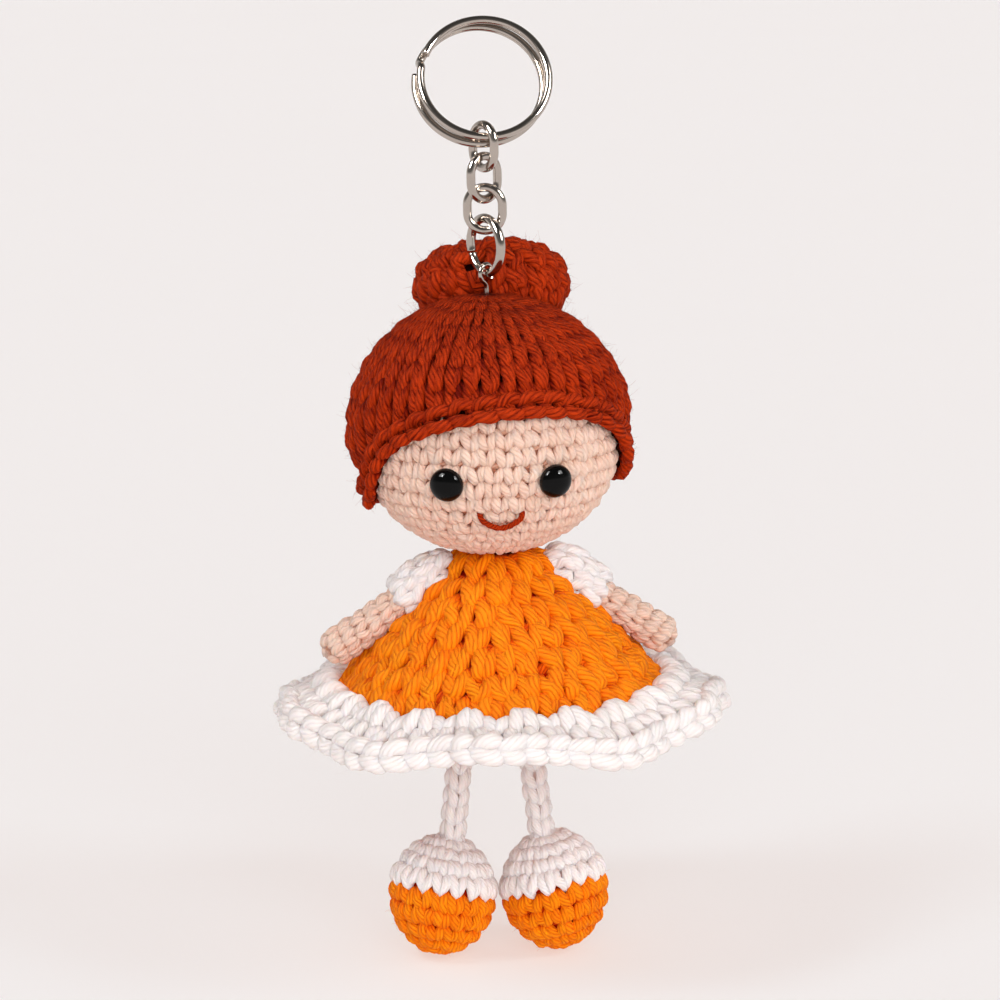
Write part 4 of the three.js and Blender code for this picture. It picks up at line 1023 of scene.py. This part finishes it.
def soft_box(azimuth, elevation, wide, high, power):
    """Light from a bright panel far away, with its sizes as half tangents."""
    facing = maths(tree, "MAXIMUM", along(towards(azimuth, elevation)), 0.01)
    light = power
    for vector, half in ((towards(azimuth + 90, 0), wide), (towards(azimuth, elevation + 90), high)):
        off = maths(tree, "ABSOLUTE", maths(tree, "DIVIDE", along(vector), facing))
        inside = maths(tree, "MULTIPLY_ADD", off, -BOX_EDGE, half * BOX_EDGE, clamp=True)
        light = maths(tree, "MULTIPLY", inside, light)
    return light


def greys(stops):
    """Grey from the horizon, 0, to straight above, 1."""
    return ramp_node(tree, split.outputs[2], [(place, (grey,) * 3) for place, grey in stops])


room = greys([(0.0, 0.84), (0.06, 0.6), (0.17, 0.17), (0.6, 0.1), (1.0, 0.06)])
wall = greys([(0.0, 0.85), (0.3, 0.75), (0.6, 0.3), (1.0, 0.05)])
behind = maths(tree, "MULTIPLY_ADD", split.outputs[1], 1.25, -0.05, clamp=True)
shade = maths(tree, "MULTIPLY_ADD", maths(tree, "SUBTRACT", wall, room), behind, room)
boxes = maths(tree, "ADD", soft_box(-66, 52, 0.17, 0.2, 9.0), soft_box(60, 38, 0.17, 0.19, 8.0))
put(tree, tree.nodes["Background"], {"Color": (1.0, 0.985, 0.975, 1), "Strength": maths(tree, "ADD", shade, boxes)})

# Broad light from above and in front that doesn't show in anything glossy
for name, energy, spread, elevation, azimuth in (("dome", 0.55, 150, 72, 0), ("fill", 2.5, 60, 10, 6)):
    light = bpy.data.lights.new(name, "SUN")
    light.energy, light.angle = energy, math.radians(spread)
    lamp = new_object(name, light)
    lamp.rotation_euler = (math.radians(90 - elevation), 0, math.radians(azimuth))
    lamp.visible_glossy = False

# Small bright windows that show in the eyes and the metal only
for name, power, azimuth, elevation, wide, high in (
    ("window_left", 3.4, -62, 46, 0.24, 0.28), ("window_right", 2.4, 56, 34, 0.2, 0.24),
    ("pane_left", 2.2, -52, 40, 0.07, 0.1), ("pane_right", 1.6, 44, 30, 0.06, 0.08),
):
    light = bpy.data.lights.new(name, "AREA")
    light.shape, light.size, light.size_y, light.energy = "RECTANGLE", wide, high, power
    lamp = new_object(name, light)
    lamp.rotation_euler = (math.radians(90 - elevation), 0, math.radians(azimuth))
    lamp.location = towards(azimuth, elevation) * 0.6 + DOLL * MM
    lamp.visible_diffuse = False

# The camera looks a little down at the middle of the part and a little from the doll's right
PIXELS, MM_PER_PIXEL, AWAY, SENSOR = 1000, 0.1812, 600.0, 36.0
DIP, ROLL, ASIDE = math.radians(11.0), math.radians(1.26), -4.8
# The picture's column where the chain hangs, and the level on the chain that shows in the middle row
CHAIN_PIXEL, MIDDLE_LEVEL = 491.4, -84.193
ahead = np.array([0, math.cos(DIP), -math.sin(DIP)])
level, steep = np.array([1.0, 0, 0]), np.array([0, math.sin(DIP), math.cos(DIP)])
right = math.cos(ROLL) * level - math.sin(ROLL) * steep
up = math.sin(ROLL) * level + math.cos(ROLL) * steep
eye = -AWAY * ahead - (CHAIN_PIXEL - PIXELS / 2) * MM_PER_PIXEL * right
right, up, ahead, eye = (rotation("Z", ASIDE) @ v for v in (right, up, ahead, eye))
eye = eye + [0, CHAIN_Y, MIDDLE_LEVEL]
camera_data = bpy.data.cameras.new("camera")
camera_data.sensor_width = SENSOR
camera_data.lens = AWAY / MM_PER_PIXEL / PIXELS * SENSOR
camera_data.clip_start, camera_data.clip_end = 0.01, 50
camera = new_object("camera", camera_data)
basis = np.eye(4)
basis[:3] = np.stack([right, up, -ahead, eye * MM], 1)
camera.matrix_world = Matrix(basis.tolist())
bpy.context.scene.camera = camera
bpy.context.scene.view_settings.view_transform = "Standard"
bpy.context.scene.view_settings.look = "None"
